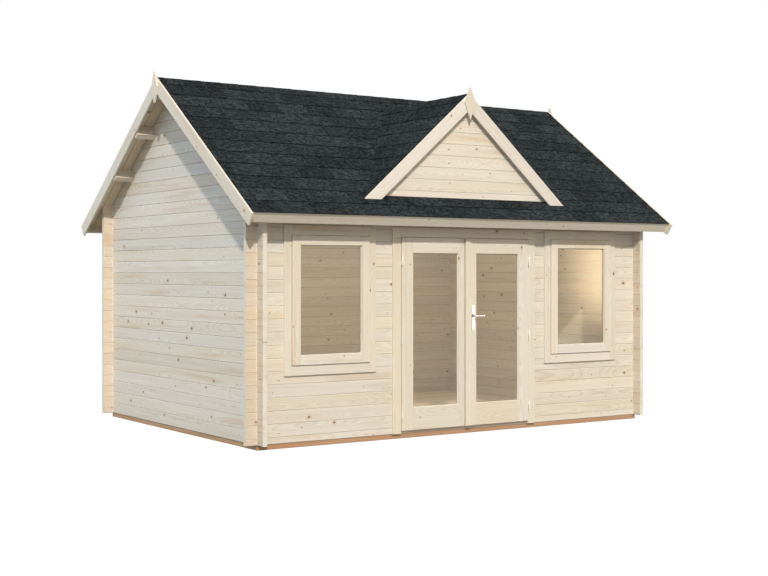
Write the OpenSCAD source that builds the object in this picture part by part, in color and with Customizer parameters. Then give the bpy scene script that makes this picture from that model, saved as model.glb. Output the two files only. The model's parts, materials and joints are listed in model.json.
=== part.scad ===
// Garden log cabin: interlocked square logs, a pitched shingle roof with a small gabled dormer,
// two fixed windows and a pair of glazed doors. Front faces -Y, X runs along the front, Z is up.

/* [Walls] */
// Width over the outer faces of the two side walls
wall_w = 4500; // [4300:10:6000]
// Depth over the outer faces of the front and back walls
wall_d = 3240; // [2600:10:4500]
// Height of one log course
log_h = 114; // [108:1:135]
// Thickness of a wall log
log_t = 44; // [34:1:60]
// Courses from the bearers to the roof at the front and back walls
wall_courses = 19; // [19:1:24]
// Length of each log past the corner it crosses
log_end = 105; // [60:5:160]
// Bevel along the long edges of a log, which shows as a V joint
log_bevel = 4.5; // [1:0.5:6]
// Height of the tongue on top of each log
tongue_h = 9; // [5:0.5:14]
// Width of that tongue
tongue_w = 14; // [8:0.5:20]

/* [Base] */
// Height of the treated bearers under the walls and floor
bearer_h = 45; // [30:1:90]
// Width of a bearer
bearer_w = 70; // [45:1:120]
// Thickness of the floor boards
floor_t = 19; // [15:1:28]

/* [Roof] */
// Pitch of the main roof in degrees
roof_pitch = 35.3; // [28:0.1:40]
// Reach of the eaves past the front and back walls, measured level
eave_out = 285; // [200:5:400]
// Reach of the roof past the gable walls
gable_out = 197; // [170:1:300]
// Thickness of the roof boards
roof_board_t = 19; // [15:1:28]
// Thickness of the laid shingles
shingle_t = 5; // [3:0.5:10]
// Thickness of the ridge shingles over them
ridge_shingle_t = 3; // [2:0.5:6]
// Reach of the ridge shingles down each slope
ridge_shingle_w = 110; // [80:5:160]
// Width of a purlin, along the slope
purlin_w = 68; // [45:1:90]
// Depth of a purlin, square to the slope
purlin_h = 112; // [80:1:150]
// Width of the ridge beam
ridge_beam_w = 70; // [45:1:100]
// Depth of the ridge beam below the peak of the roof boards
ridge_beam_h = 170; // [120:5:220]
// Width of the bargeboards on the gables and on the dormer
barge_w = 120; // [90:5:160]
// Thickness of bargeboards and fascias
trim_t = 19; // [14:1:25]
// Depth of the eave fascia below the shingles, square to the slope
fascia_h = 104; // [60:2:130]

/* [Dormer] */
// Pitch of the dormer roof in degrees
dormer_pitch = 41.2; // [38:0.1:46]
// Drop from the main ridge to the dormer ridge
dormer_drop = 160; // [120:5:300]
// Distance of the dormer cladding in front of the front wall
dormer_out = 10; // [0:1:40]
// Reach of the dormer roof past its cladding
dormer_overhang = 38; // [20:1:80]

/* [Door] */
// Width of the doorway between the jambs
door_w = 1520; // [1400:10:1600]
// Width of the cover strip over the meeting stiles
strip_w = 56; // [40:1:80]
// Thickness of the leaves
leaf_t = 42; // [36:1:50]
// Width of the hinge stile of a leaf
leaf_stile_w = 124; // [100:1:140]
// Distance of the glass of either leaf from the middle of the doorway
glass_from_middle = 106; // [90:1:130]
// Height of the top rail of a leaf
leaf_top_rail_h = 143; // [100:1:170]
// Height of the bottom rail of a leaf
leaf_bottom_rail_h = 206; // [140:1:260]
// Height of the lever handle above the ground
lever_z = 1120; // [1000:5:1200]
// Length of the lever from its spindle
lever_l = 111; // [95:1:140]

/* [Windows] */
// Width of a window sash
sash_w = 805; // [600:5:900]
// Share of the free wall beside the left window that lies towards the door
left_window_share = 0.463; // [0.1:0.001:0.9]
// Share of the free wall beside the right window that lies towards the door
right_window_share = 0.331; // [0.1:0.001:0.9]
// Width of the stiles and rails of a sash
sash_member_w = 83; // [60:1:110]
// Thickness of a sash
sash_t = 50; // [40:1:60]
// Log course whose top carries the window sills
sill_course = 5; // [4:1:7]
// Log course whose top ends the doorway and the windows
head_course = 16; // [16:1:17]
// Width of the casings round the doorway and over and under the windows
casing_w = 88; // [70:1:100]
// Width of the casings at the sides of the windows
side_casing_w = 72; // [60:1:100]
// Thickness of those casings
casing_t = 20; // [14:1:26]
// Thickness of the jambs and heads that line the openings
frame_t = 30; // [24:1:40]

/* [Hidden] */
$fn = 48;
// Excess of a cutting shape past the face it cuts
overrun = 10;
// Joint between members that are glued, nailed or bedded on each other
hairline = 0.2;
// Room round a piece that is pushed into its seat
seat_clear = 0.3;
// Room round a log where another crosses it, and round a tongue in its groove
notch_clear = 0.5;
// Running room of a hinge pin and of a handle spindle
pin_clear = 0.08;
// Room left over the frames for the log walls to settle
settle_gap = 36;
// Running gap at the sides and top of the door leaves
leaf_gap = 5;
// Running gap under them
leaf_foot_gap = 10;
// Running gap between the meeting edges of the leaves
meeting_gap = 9;
// Gap round the sides and top of a fixed sash
sash_gap = 3;
// Height of the sill member under a sash
sill_t = 48;
// Gap between the floor boards and the walls
floor_gap = 10;
// Distance of the bearers behind the wall faces, so that rain drips clear of them
bearer_inset = 8;
// Thickness of the glass panes
glass_t = 8;
// Distance of the faces of leaves and sashes in front of their casings
proud = 14;
// Share of a log's height that is cut away at each side of a corner notch
notch_share = 0.25;
// Shares of the run from ridge to wall at which the purlins stand
purlin_shares = [0.33, 0.668];
// Shares of the floor width at which the cross bearers stand, from the middle
bearer_shares = [-1, -0.75, -0.5, -0.25, 0, 0.25, 0.5, 0.75, 1];
// Rise of the bargeboards over the shingles they edge
barge_rise = 5;
// Length of the bargeboards past the eaves
barge_past = 30;
// Distance of the shingle edge in front of the fascia
shingle_past = 5;
// Kite-shaped ornament on a gable peak
ornament_up = 55;
ornament_down = 258;
ornament_shoulder = 90;
ornament_half_w = 64;
ornament_tip = 11;
ornament_sweep = 1.8;
ornament_t = 18;
ornament_steps = 6;
// Barrel hinges of the leaves
hinge_r = 7;
hinge_half_h = 45;
hinge_pin_r = 3.5;
hinge_pin_l = 25;
hinge_out = 9;
hinge_foot_w = 11;
hinge_foot_t = 2.5;
hinge_shares = [0.085, 0.474, 0.88];
// Lever handle and its plates
plate_w = 40;
plate_h = 245;
plate_t = 7;
plate_drop = 20;
plate_from_edge = 92;
lever_r = 8.5;
lever_neck_r = 10;
lever_out = 48;
spindle_r = 5;

// Heights
wall_top = bearer_h + wall_courses * log_h;
hole_top = bearer_h + head_course * log_h + log_h / 2;
sill_top = bearer_h + sill_course * log_h + log_h / 2;
frame_top = hole_top - settle_gap;
leaf_top = frame_top - frame_t - leaf_gap;
leaf_bottom = bearer_h + floor_t + leaf_foot_gap;
leaf_h = leaf_top - leaf_bottom;
sash_bottom = sill_top + sill_t + seat_clear;
sash_top = frame_top - frame_t - sash_gap;
tongue_room = tongue_h + notch_clear;

// Plan
wall_x = wall_w / 2;
wall_y = wall_d / 2;
room_x = wall_x - log_t;
room_y = wall_y - log_t;
casing_y = wall_y + casing_t;
door_x = door_w / 2;
meeting_x = strip_w / 2;
door_hole_x = door_x + frame_t;
leaf_front = -casing_y - proud;
leaf_back = leaf_front + leaf_t;
roof_x = wall_x + gable_out;
eave_y = wall_y + eave_out;
barge_y = eave_y + barge_past;

// The windows share the wall between the door casings and the side walls
window_clear_x = sash_w / 2 + sash_gap;
window_hole_x = window_clear_x + frame_t;
window_x = window_clear_x + side_casing_w;
door_side_x = door_x + casing_w;
free_wall = room_x - door_side_x - 2 * window_x;
left_window_x = door_side_x + left_window_share * free_wall + window_x;
right_window_x = door_side_x + right_window_share * free_wall + window_x;

// Roof layers, measured square to the slope from the underside of the roof boards
roof_t = roof_board_t + shingle_t;
shingle_bed = roof_board_t + hairline;
barge_top = roof_t + barge_rise;
barge_low = barge_top - barge_w;

// Height of a main roof layer over a point of the plan
function roof_z(y, n) = wall_top + (wall_y - abs(y)) * tan(roof_pitch) + n / cos(roof_pitch);

// Point of a slope: level run from the ridge, then a distance square to the slope
function on_slope(side, run, n) = [side * (run + n * sin(roof_pitch)), roof_z(run, 0) + n * cos(roof_pitch)];

// Runs at which the shingles, the fascias and the roof boards end
eave_run = eave_y - roof_t * sin(roof_pitch);
fascia_run = eave_run - shingle_past * cos(roof_pitch);
board_run = fascia_run - trim_t * cos(roof_pitch);

// Dormer layers follow the same rule along X
dormer_peak = roof_z(0, roof_t) - dormer_drop - roof_t / cos(dormer_pitch);
function dormer_z(x, n) = dormer_peak - abs(x) * tan(dormer_pitch) + n / cos(dormer_pitch);
dormer_face_y = wall_y + dormer_out;
dormer_edge_y = dormer_face_y + dormer_overhang;
dormer_barge_y = dormer_edge_y + trim_t;
dormer_reach = (dormer_z(0, barge_top) - roof_z(dormer_barge_y, roof_t)) / tan(dormer_pitch) + overrun;

// Rows of logs up to the ridge beam
side_rows = ceil((roof_z(ridge_beam_w / 2, 0) - bearer_h) / log_h);

// Shared shapes

// Box between two corners
module block(low, high) translate(low) cube(high - low);

// Outline in Y and Z, drawn out along X
module along_x(points, x0, x1)
    translate([x0, 0, 0]) rotate([90, 0, 90]) linear_extrude(x1 - x0) polygon(points);

// Outline in X and Z, drawn out along Y
module along_y(points, y0, y1)
    translate([0, y1, 0]) rotate([90, 0, 0]) linear_extrude(y1 - y0) polygon(points);

// Section of a log between two heights: bevelled edges, a groove below and a tongue above
function log_section(z0, z1, grooved) = concat(
    [[-log_t / 2, z0 + log_bevel], [-log_t / 2 + log_bevel, z0]],
    grooved ? [
        [-tongue_w / 2 - notch_clear, z0],
        [-tongue_w / 2 - notch_clear, z0 + tongue_room],
        [tongue_w / 2 + notch_clear, z0 + tongue_room],
        [tongue_w / 2 + notch_clear, z0]
    ] : [],
    [[log_t / 2 - log_bevel, z0], [log_t / 2, z0 + log_bevel]],
    [[log_t / 2, z1 - log_bevel], [log_t / 2 - log_bevel, z1]],
    [[tongue_w / 2, z1], [tongue_w / 2, z1 + tongue_h], [-tongue_w / 2, z1 + tongue_h], [-tongue_w / 2, z1]],
    [[-log_t / 2 + log_bevel, z1], [-log_t / 2, z1 - log_bevel]]
);

// Everything below the underside of the roof boards
module under_roof() {
    outline = [
        [-eave_y, 0], [eave_y, 0],
        [eave_y, roof_z(eave_y, -hairline)], [0, roof_z(0, -hairline)], [-eave_y, roof_z(eave_y, -hairline)]
    ];
    along_x(outline, -roof_x, roof_x);
}

// Everything below the shingles of the front slope
module under_front_shingles() {
    far = eave_y + overrun;
    top = roof_t + hairline;
    outline = [[-far, 0], [0, 0], [0, roof_z(0, top)], [-far, roof_z(far, top)]];
    along_x(outline, -roof_x, roof_x);
}

// Layer of the main roof on one slope, cut square at the eave: side -1 is the front, 1 the back
module roof_layer(side, n0, n1, run) {
    outline = [[0, roof_z(0, n0)], on_slope(side, run, n0), on_slope(side, run, n1), [0, roof_z(0, n1)]];
    along_x(outline, -roof_x, roof_x);
}

// Layer of the dormer roof on one slope: side -1 is the left, 1 the right
module dormer_layer(side, n0, n1, y_front) {
    near = hairline / 2;
    outline = [
        [side * near, dormer_z(near, n0)], [side * dormer_reach, dormer_z(dormer_reach, n0)],
        [side * dormer_reach, dormer_z(dormer_reach, n1)], [side * near, dormer_z(near, n1)]
    ];
    difference() {
        along_y(outline, -y_front, 0);
        under_front_shingles();
    }
}

// Walls

// Bottom and top of a row in the side walls, and in the front and back walls half a course lower
function side_row(k) = [bearer_h + k * log_h, bearer_h + (k + 1) * log_h];
function long_row(k) = [bearer_h + max(k - 0.5, 0) * log_h, bearer_h + (k + 0.5) * log_h];

// Corner notch in a log at the origin, which runs along Y, under and over the log that crosses it
module corner_notch(z0, z1, below, above) {
    half = log_t / 2 + notch_clear;
    wide = log_t / 2 + overrun;
    cut = notch_share * log_h;
    if (below) block([-wide, -half, z0 - overrun], [wide, half, z0 + cut]);
    if (above) block([-wide, -half, z1 - cut], [wide, half, z1 + tongue_h + overrun]);
}

// Slanting pocket of a purlin on one slope, with room round it
function purlin_outline(side, share, room) = let(
    near = wall_y * share - room * cos(roof_pitch),
    far = wall_y * share + (purlin_w + room) * cos(roof_pitch),
    top = room - hairline,
    low = -purlin_h - room
) [on_slope(side, near, top), on_slope(side, far, top), on_slope(side, far, low), on_slope(side, near, low)];

// Section of the ridge beam, with room round it
function ridge_beam_outline(room) = let(
    half = ridge_beam_w / 2 + room,
    top = room - hairline,
    low = roof_z(0, 0) - ridge_beam_h - room
) [[-half, low], [half, low], [half, roof_z(half, top)], [0, roof_z(0, top)], [-half, roof_z(half, top)]];

// One log of the left wall; gable logs stop inside the front and back walls
module side_log(k) {
    row = side_row(k);
    crossing = k < wall_courses;
    reach = crossing ? wall_y + log_end : room_y - notch_clear;
    difference() {
        intersection() {
            translate([-wall_x + log_t / 2, 0, 0]) along_y(log_section(row[0], row[1], k > 0), -reach, reach);
            under_roof();
        }
        if (crossing)
            for (side = [-1, 1])
                translate([-wall_x + log_t / 2, side * (wall_y - log_t / 2), 0])
                    corner_notch(row[0], row[1], true, true);
        for (side = [-1, 1])
            for (share = purlin_shares)
                along_x(purlin_outline(side, share, notch_clear), -roof_x, 0);
        along_x(ridge_beam_outline(notch_clear), -roof_x, 0);
    }
}

// One log of the back wall, or of the front wall before its openings are cut
module long_log(k, side) {
    row = long_row(k);
    reach = wall_x + log_end;
    place = side * (wall_y - log_t / 2);
    difference() {
        intersection() {
            translate([0, place, 0]) along_x(log_section(row[0], row[1], k > 0), -reach, reach);
            under_roof();
        }
        for (end = [-1, 1])
            translate([end * (wall_x - log_t / 2), place, 0])
                rotate([0, 0, 90]) corner_notch(row[0], row[1], k > 0, k < wall_courses);
    }
}

module side_wall(first) for (k = [first:2:side_rows - 1]) side_log(k);

module front_openings() {
    front = -wall_y - overrun;
    back = -room_y + overrun;
    block([-door_hole_x, front, bearer_h - overrun], [door_hole_x, back, hole_top]);
    for (x = [-left_window_x, right_window_x])
        block([x - window_hole_x, front, sill_top], [x + window_hole_x, back, hole_top]);
}

module front_wall(first) {
    for (k = [first:2:wall_courses])
        difference() {
            long_log(k, -1);
            front_openings();
        }
}

module back_wall(first) for (k = [first:2:wall_courses]) long_log(k, 1);

module front_wall_even_logs() color("wheat") front_wall(0);
module front_wall_odd_logs() color("wheat") front_wall(1);
module back_wall_even_logs() color("wheat") back_wall(0);
module back_wall_odd_logs() color("wheat") back_wall(1);
module left_wall_even_logs() color("wheat") side_wall(0);
module left_wall_odd_logs() color("wheat") side_wall(1);
module right_wall_even_logs() color("wheat") mirror([1, 0, 0]) side_wall(0);
module right_wall_odd_logs() color("wheat") mirror([1, 0, 0]) side_wall(1);

// Base

bearer_x = wall_x - bearer_inset;
bearer_y = wall_y - bearer_inset;

module long_bearers() color("peru")
    for (y = [-bearer_y, bearer_y - bearer_w])
        block([-bearer_x, y, 0], [bearer_x, y + bearer_w, bearer_h]);

module cross_bearers() color("peru") {
    reach = bearer_y - bearer_w - seat_clear;
    for (share = bearer_shares) {
        x = share * (bearer_x - bearer_w / 2);
        block([x - bearer_w / 2, -reach, 0], [x + bearer_w / 2, reach, bearer_h]);
    }
}

module floor_boards() color("burlywood") {
    floor_x = room_x - floor_gap;
    floor_y = room_y - floor_gap;
    block([-floor_x, -floor_y, bearer_h], [floor_x, floor_y, bearer_h + floor_t]);
}

// Main roof

module ridge_beam() color("wheat") along_x(ridge_beam_outline(0), -roof_x, roof_x);

module purlins() color("wheat")
    for (side = [-1, 1])
        for (share = purlin_shares)
            along_x(purlin_outline(side, share, 0), -roof_x, roof_x);

module front_roof_boards() color("wheat") roof_layer(-1, 0, roof_board_t, board_run - hairline);
module back_roof_boards() color("wheat") roof_layer(1, 0, roof_board_t, board_run - hairline);
module front_shingles() color("darkslategray") roof_layer(-1, shingle_bed, roof_t, eave_run);
module back_shingles() color("darkslategray") roof_layer(1, shingle_bed, roof_t, eave_run);

module ridge_shingles() color("darkslategray") {
    bed = roof_t + hairline;
    top = bed + ridge_shingle_t;
    run = ridge_shingle_w * cos(roof_pitch);
    outline = [
        [-run, roof_z(run, bed)], [0, roof_z(0, bed)], [run, roof_z(run, bed)],
        [run, roof_z(run, top)], [0, roof_z(0, top)], [-run, roof_z(run, top)]
    ];
    along_x(outline, -roof_x, roof_x);
    dormer_run = ridge_shingle_w * cos(dormer_pitch);
    dormer_outline = [
        [-dormer_run, dormer_z(dormer_run, bed)], [0, dormer_z(0, bed)],
        [dormer_run, dormer_z(dormer_run, bed)], [dormer_run, dormer_z(dormer_run, top)],
        [0, dormer_z(0, top)], [-dormer_run, dormer_z(dormer_run, top)]
    ];
    difference() {
        along_y(dormer_outline, -dormer_edge_y, 0);
        under_front_shingles();
    }
}

// Nailed to the square ends of the roof boards, so they lean with the slope
module eave_fascias() color("wheat")
    for (side = [-1, 1]) {
        low = roof_board_t - fascia_h;
        outline = [
            on_slope(side, board_run, low), on_slope(side, fascia_run, low),
            on_slope(side, fascia_run, roof_board_t), on_slope(side, board_run, roof_board_t)
        ];
        along_x(outline, -roof_x, roof_x);
    }

module bargeboards() color("wheat") {
    near = hairline / 2;
    run = barge_y - barge_top * sin(roof_pitch);
    for (end = [-1, 1])
        for (side = [-1, 1]) {
            outline = [
                [side * near, roof_z(near, barge_low)], [side * near, roof_z(near, barge_top)],
                on_slope(side, run, barge_top), on_slope(side, run, barge_low)
            ];
            x = end * (roof_x + trim_t / 2);
            along_x(outline, x - trim_t / 2, x + trim_t / 2);
        }
}

// Right half of the ornament's edge from its spike to its foot, about a peak at the origin
function ornament_edge() = concat(
    [for (i = [0:ornament_steps]) let(way = i / ornament_steps) [
        ornament_tip + (ornament_half_w - ornament_tip) * pow(way, ornament_sweep),
        ornament_up - (ornament_up + ornament_shoulder) * way
    ]],
    [[ornament_tip, -ornament_down]]
);
module ornament() {
    right = ornament_edge();
    last = len(right) - 1;
    left = [for (i = [last:-1:0]) [-right[i][0], right[i][1]]];
    rotate([90, 0, 0]) linear_extrude(ornament_t) polygon(concat(right, left));
}

module gable_ornaments() color("wheat")
    for (end = [-1, 1])
        translate([end * (roof_x + trim_t), 0, roof_z(0, barge_top)]) rotate([0, 0, end * 90]) ornament();

// Dormer

module dormer_cladding() color("wheat") {
    low = dormer_z(dormer_reach, -hairline);
    outline = [[0, dormer_z(0, -hairline)], [dormer_reach, low], [-dormer_reach, low]];
    difference() {
        along_y(outline, -dormer_face_y, trim_t - dormer_face_y);
        under_front_shingles();
    }
}

module dormer_roof_boards() color("wheat")
    for (side = [-1, 1]) dormer_layer(side, 0, roof_board_t, dormer_edge_y);

module dormer_shingles() color("darkslategray")
    for (side = [-1, 1]) dormer_layer(side, shingle_bed, roof_t, dormer_edge_y);

module dormer_bargeboards() color("wheat") {
    near = hairline / 2;
    for (side = [-1, 1])
        difference() {
            outline = [
                [side * near, dormer_z(near, barge_low)], [side * near, dormer_z(near, barge_top)],
                [side * dormer_reach, dormer_z(dormer_reach, barge_top)],
                [side * dormer_reach, dormer_z(dormer_reach, barge_low)]
            ];
            along_y(outline, -dormer_barge_y, -dormer_edge_y);
            under_front_shingles();
        }
}

module dormer_ornament() color("wheat")
    translate([0, -dormer_barge_y, dormer_z(0, barge_top)]) ornament();

// Doorway

module door_jambs() color("wheat")
    for (side = [-1, 1]) {
        x = side * (door_x + frame_t / 2);
        block([x - frame_t / 2, -wall_y, bearer_h], [x + frame_t / 2, -room_y, frame_top]);
    }

module door_head_and_sill() color("wheat") {
    reach = door_x - hairline;
    block([-reach, -wall_y, frame_top - frame_t], [reach, -room_y, frame_top]);
    block([-reach, -wall_y, bearer_h], [reach, -room_y, bearer_h + floor_t]);
}

module door_side_casings() color("wheat")
    for (side = [-1, 1]) {
        x = side * (door_x + casing_w / 2);
        top = frame_top - frame_t - hairline;
        block([x - casing_w / 2, -casing_y, bearer_h], [x + casing_w / 2, -wall_y, top]);
        inner_x = x - side * casing_t;
        low = [inner_x - casing_w / 2, -room_y, bearer_h + floor_t];
        block(low, [inner_x + casing_w / 2, casing_t - room_y, top - casing_t]);
    }

module door_head_casings() color("wheat") {
    reach = door_x + casing_w;
    low = frame_top - frame_t;
    block([-reach, -casing_y, low], [reach, -wall_y, low + casing_w]);
    inner_reach = reach - casing_t;
    inner_low = low - casing_t;
    block([-inner_reach, -room_y, inner_low], [inner_reach, casing_t - room_y, inner_low + casing_w]);
}

// Heights of the three hinges of a leaf
hinge_heights = [for (share = hinge_shares) leaf_bottom + share * leaf_h];
hinge_x = door_x - leaf_gap / 2;
hinge_y = leaf_front - hinge_out;

// Half of a hinge on its axis at the origin, with a flat foot towards one side on a face behind it
module hinge_half(side, face_y) {
    cylinder(r = hinge_r, h = hinge_half_h);
    foot_y = face_y - hinge_foot_t;
    block([min(0, side * hinge_foot_w), foot_y, 0], [max(0, side * hinge_foot_w), face_y, hinge_half_h]);
    block([min(0, side * hinge_r), 0, 0], [max(0, side * hinge_r), face_y, hinge_half_h]);
}

// Lower halves with their pins, on the frame
module frame_hinges() color("silver")
    for (side = [-1, 1])
        for (z = hinge_heights)
            translate([side * hinge_x, hinge_y, z - hinge_half_h]) {
                hinge_half(side, hinge_out + proud);
                cylinder(r = hinge_pin_r, h = hinge_half_h + hinge_pin_l);
            }

// Upper halves, bored for the pins, on a leaf
module leaf_hinges(side) color("silver")
    for (z = hinge_heights)
        translate([side * hinge_x, hinge_y, z + seat_clear])
            difference() {
                hinge_half(-side, hinge_out);
                translate([0, 0, -overrun])
                    cylinder(r = hinge_pin_r + pin_clear, h = overrun + hinge_pin_l + pin_clear);
            }

module left_leaf_hinges() leaf_hinges(-1);
module right_leaf_hinges() leaf_hinges(1);

// Leaves: the meeting line lies left of the middle, at the left edge of the cover strip
left_leaf = [leaf_gap - door_x, -meeting_x - meeting_gap];
right_leaf = [-meeting_x, door_x - leaf_gap];
left_glass = [left_leaf[0] + leaf_stile_w, -glass_from_middle];
right_glass = [glass_from_middle, right_leaf[1] - leaf_stile_w];
spindle_x = -meeting_x + plate_from_edge;

// Stiles and rails of a leaf between its sides and the sides of its glass
module leaf_frame(sides, glass) {
    block([sides[0], leaf_front, leaf_bottom], [glass[0], leaf_back, leaf_top]);
    block([glass[1], leaf_front, leaf_bottom], [sides[1], leaf_back, leaf_top]);
    rail = [glass[0] + hairline, glass[1] - hairline];
    block([rail[0], leaf_front, leaf_bottom], [rail[1], leaf_back, leaf_bottom + leaf_bottom_rail_h]);
    block([rail[0], leaf_front, leaf_top - leaf_top_rail_h], [rail[1], leaf_back, leaf_top]);
}

module leaf_glass(glass) {
    y = (leaf_front + leaf_back - glass_t) / 2;
    low = leaf_bottom + leaf_bottom_rail_h + seat_clear;
    high = leaf_top - leaf_top_rail_h - seat_clear;
    block([glass[0] + seat_clear, y, low], [glass[1] - seat_clear, y + glass_t, high]);
}

module left_leaf_frame() color("wheat") leaf_frame(left_leaf, left_glass);
module left_leaf_glass() color("tan", 0.4) leaf_glass(left_glass);
module right_leaf_glass() color("tan", 0.4) leaf_glass(right_glass);
module right_leaf_frame() color("wheat")
    difference() {
        leaf_frame(right_leaf, right_glass);
        translate([spindle_x, leaf_back + overrun, lever_z])
            rotate([90, 0, 0]) cylinder(r = lever_neck_r, h = leaf_t + 2 * overrun);
    }

module meeting_strip() color("wheat")
    block([-meeting_x, leaf_front - trim_t, leaf_bottom], [meeting_x, leaf_front, leaf_top]);

module handle_plates() color("gainsboro")
    for (y = [leaf_front - plate_t, leaf_back])
        difference() {
            low = lever_z - plate_h / 2 - plate_drop;
            block([spindle_x - plate_w / 2, y, low], [spindle_x + plate_w / 2, y + plate_t, low + plate_h]);
            translate([spindle_x, y + plate_t + overrun, lever_z])
                rotate([90, 0, 0]) cylinder(r = spindle_r + pin_clear, h = plate_t + 2 * overrun);
        }

// One spindle with a lever at each end, turned together
module lever_handle() color("gainsboro")
    translate([spindle_x, 0, lever_z]) {
        ends = [leaf_front - plate_t - lever_out, leaf_back + plate_t + lever_out];
        translate([0, ends[1], 0]) rotate([90, 0, 0]) cylinder(r = spindle_r, h = ends[1] - ends[0]);
        for (end = [0, 1]) {
            neck = lever_out - seat_clear;
            neck_y = end == 0 ? ends[0] + neck : ends[1];
            translate([0, neck_y, 0]) rotate([90, 0, 0]) cylinder(r = lever_neck_r, h = neck);
            translate([0, ends[end], 0]) sphere(r = lever_neck_r);
            translate([0, ends[end], 0]) rotate([0, 90, 0]) cylinder(r = lever_r, h = lever_l - lever_r);
            translate([lever_l - lever_r, ends[end], 0]) sphere(r = lever_r);
        }
    }

// Windows

// Four members of a frame round a clear opening, uprights the full height
module frame_members(x, clear_x, low, high, side_w, low_w, high_w, y0, y1) {
    for (side = [-1, 1]) {
        middle = x + side * (clear_x + side_w / 2);
        block([middle - side_w / 2, y0, low - low_w], [middle + side_w / 2, y1, high + high_w]);
    }
    reach = clear_x - hairline;
    block([x - reach, y0, low - low_w], [x + reach, y1, low]);
    block([x - reach, y0, high], [x + reach, y1, high + high_w]);
}

module at_windows() for (x = [-left_window_x, right_window_x]) translate([x, 0, 0]) children();

module window_frames() color("wheat") at_windows()
    frame_members(0, window_clear_x, sill_top + sill_t, frame_top - frame_t,
                  frame_t, sill_t, frame_t, -wall_y, -room_y);

module window_casings() color("wheat") at_windows()
    for (y = [-casing_y, -room_y])
        frame_members(0, window_clear_x, sash_bottom - sash_gap, frame_top - frame_t,
                      side_casing_w, casing_w, casing_w, y, y + casing_t);

sash_front = leaf_front;
sash_clear_x = sash_w / 2 - sash_member_w;
module window_sashes() color("wheat") at_windows()
    frame_members(0, sash_clear_x, sash_bottom + sash_member_w, sash_top - sash_member_w,
                  sash_member_w, sash_member_w, sash_member_w, sash_front, sash_front + sash_t);

module window_glass() color("tan", 0.4) at_windows() {
    y = sash_front + (sash_t - glass_t) / 2;
    reach = sash_clear_x - seat_clear;
    inset = sash_member_w + seat_clear;
    block([-reach, y, sash_bottom + inset], [reach, y + glass_t, sash_top - inset]);
}

long_bearers();
cross_bearers();
floor_boards();
front_wall_even_logs();
front_wall_odd_logs();
back_wall_even_logs();
back_wall_odd_logs();
left_wall_even_logs();
left_wall_odd_logs();
right_wall_even_logs();
right_wall_odd_logs();
ridge_beam();
purlins();
front_roof_boards();
back_roof_boards();
front_shingles();
back_shingles();
ridge_shingles();
eave_fascias();
bargeboards();
gable_ornaments();
dormer_cladding();
dormer_roof_boards();
dormer_shingles();
dormer_bargeboards();
dormer_ornament();
door_jambs();
door_head_and_sill();
door_side_casings();
door_head_casings();
frame_hinges();
left_leaf_frame();
left_leaf_glass();
left_leaf_hinges();
right_leaf_frame();
right_leaf_glass();
right_leaf_hinges();
meeting_strip();
handle_plates();
lever_handle();
window_frames();
window_casings();
window_sashes();
window_glass();
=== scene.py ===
# %% [markdown]
# # A garden log cabin
# The cabin is a box of interlocked spruce logs under a shingled gable roof, with a small gabled dormer over the
# front, two windows and a pair of glazed doors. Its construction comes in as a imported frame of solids. This
# lesson dresses that frame: grain for every timber, single shingles for the roof, boards, beads, glass and
# metal. Everything is in metres: X runs along the front, Y goes to the back and Z is up.

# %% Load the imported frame
import json
import math
import random

import bmesh
import bpy
from mathutils import Matrix, Vector


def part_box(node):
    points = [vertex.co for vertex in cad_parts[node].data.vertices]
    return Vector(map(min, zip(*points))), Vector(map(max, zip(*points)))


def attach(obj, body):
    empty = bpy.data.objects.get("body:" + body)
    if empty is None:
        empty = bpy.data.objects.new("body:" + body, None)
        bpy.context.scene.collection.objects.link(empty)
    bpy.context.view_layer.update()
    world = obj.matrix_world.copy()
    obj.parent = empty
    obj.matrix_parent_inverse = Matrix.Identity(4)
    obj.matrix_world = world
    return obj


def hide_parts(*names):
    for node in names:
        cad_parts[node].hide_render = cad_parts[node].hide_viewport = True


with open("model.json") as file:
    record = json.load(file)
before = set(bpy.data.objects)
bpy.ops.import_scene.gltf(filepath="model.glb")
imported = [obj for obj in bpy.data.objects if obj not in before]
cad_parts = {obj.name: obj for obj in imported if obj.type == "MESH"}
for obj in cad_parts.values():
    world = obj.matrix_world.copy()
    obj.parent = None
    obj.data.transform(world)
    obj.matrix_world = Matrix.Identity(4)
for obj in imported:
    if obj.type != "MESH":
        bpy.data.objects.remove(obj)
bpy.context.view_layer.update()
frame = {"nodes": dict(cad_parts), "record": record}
nodes = frame["nodes"]
slot_of = {row["node"]: row["material_slot"] for row in frame["record"]["subparts"]}
body_of = {node: body for body, members in frame["record"]["behaviour"]["bodies"].items() for node in members}

# %% [markdown]
# ## One helper for all node trees
# Materials and Geometry Nodes trees are both built from nodes with settings and links. One function that adds a
# node, sets its properties and fills each input with a value or a link keeps the trees short to read. A short kind
# means a shader node, and a node given as a value stands for its first output in use. Colours are written as sRGB
# hex values, as a paint chart gives them, and turned to linear light in one place.

# %% Helpers for nodes, colours and objects
def add(tree, kind, inputs=(), **properties):
    made = tree.nodes.new(kind if "Node" in kind else "ShaderNode" + kind)
    for name, value in properties.items():
        setattr(made, name, value)
    for key, value in dict(inputs).items():
        if isinstance(value, bpy.types.Node):
            value = next(out for out in value.outputs if out.enabled)
        if isinstance(value, bpy.types.NodeSocket):
            tree.links.new(value, made.inputs[key])
        else:
            made.inputs[key].default_value = value
    return made


def linear(hex_colour):
    channels = [int(hex_colour[i:i + 2], 16) / 255 for i in (1, 3, 5)]
    return [c / 12.92 if c <= 0.04045 else ((c + 0.055) / 1.055) ** 2.4 for c in channels] + [1.0]


def new_material(name):
    material = bpy.data.materials.new(name)
    material.use_nodes = True
    material.node_tree.nodes.clear()
    return material, material.node_tree


def put_in_scene(name, data):
    thing = bpy.data.objects.new(name, data)
    bpy.context.scene.collection.objects.link(thing)
    return thing


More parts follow.
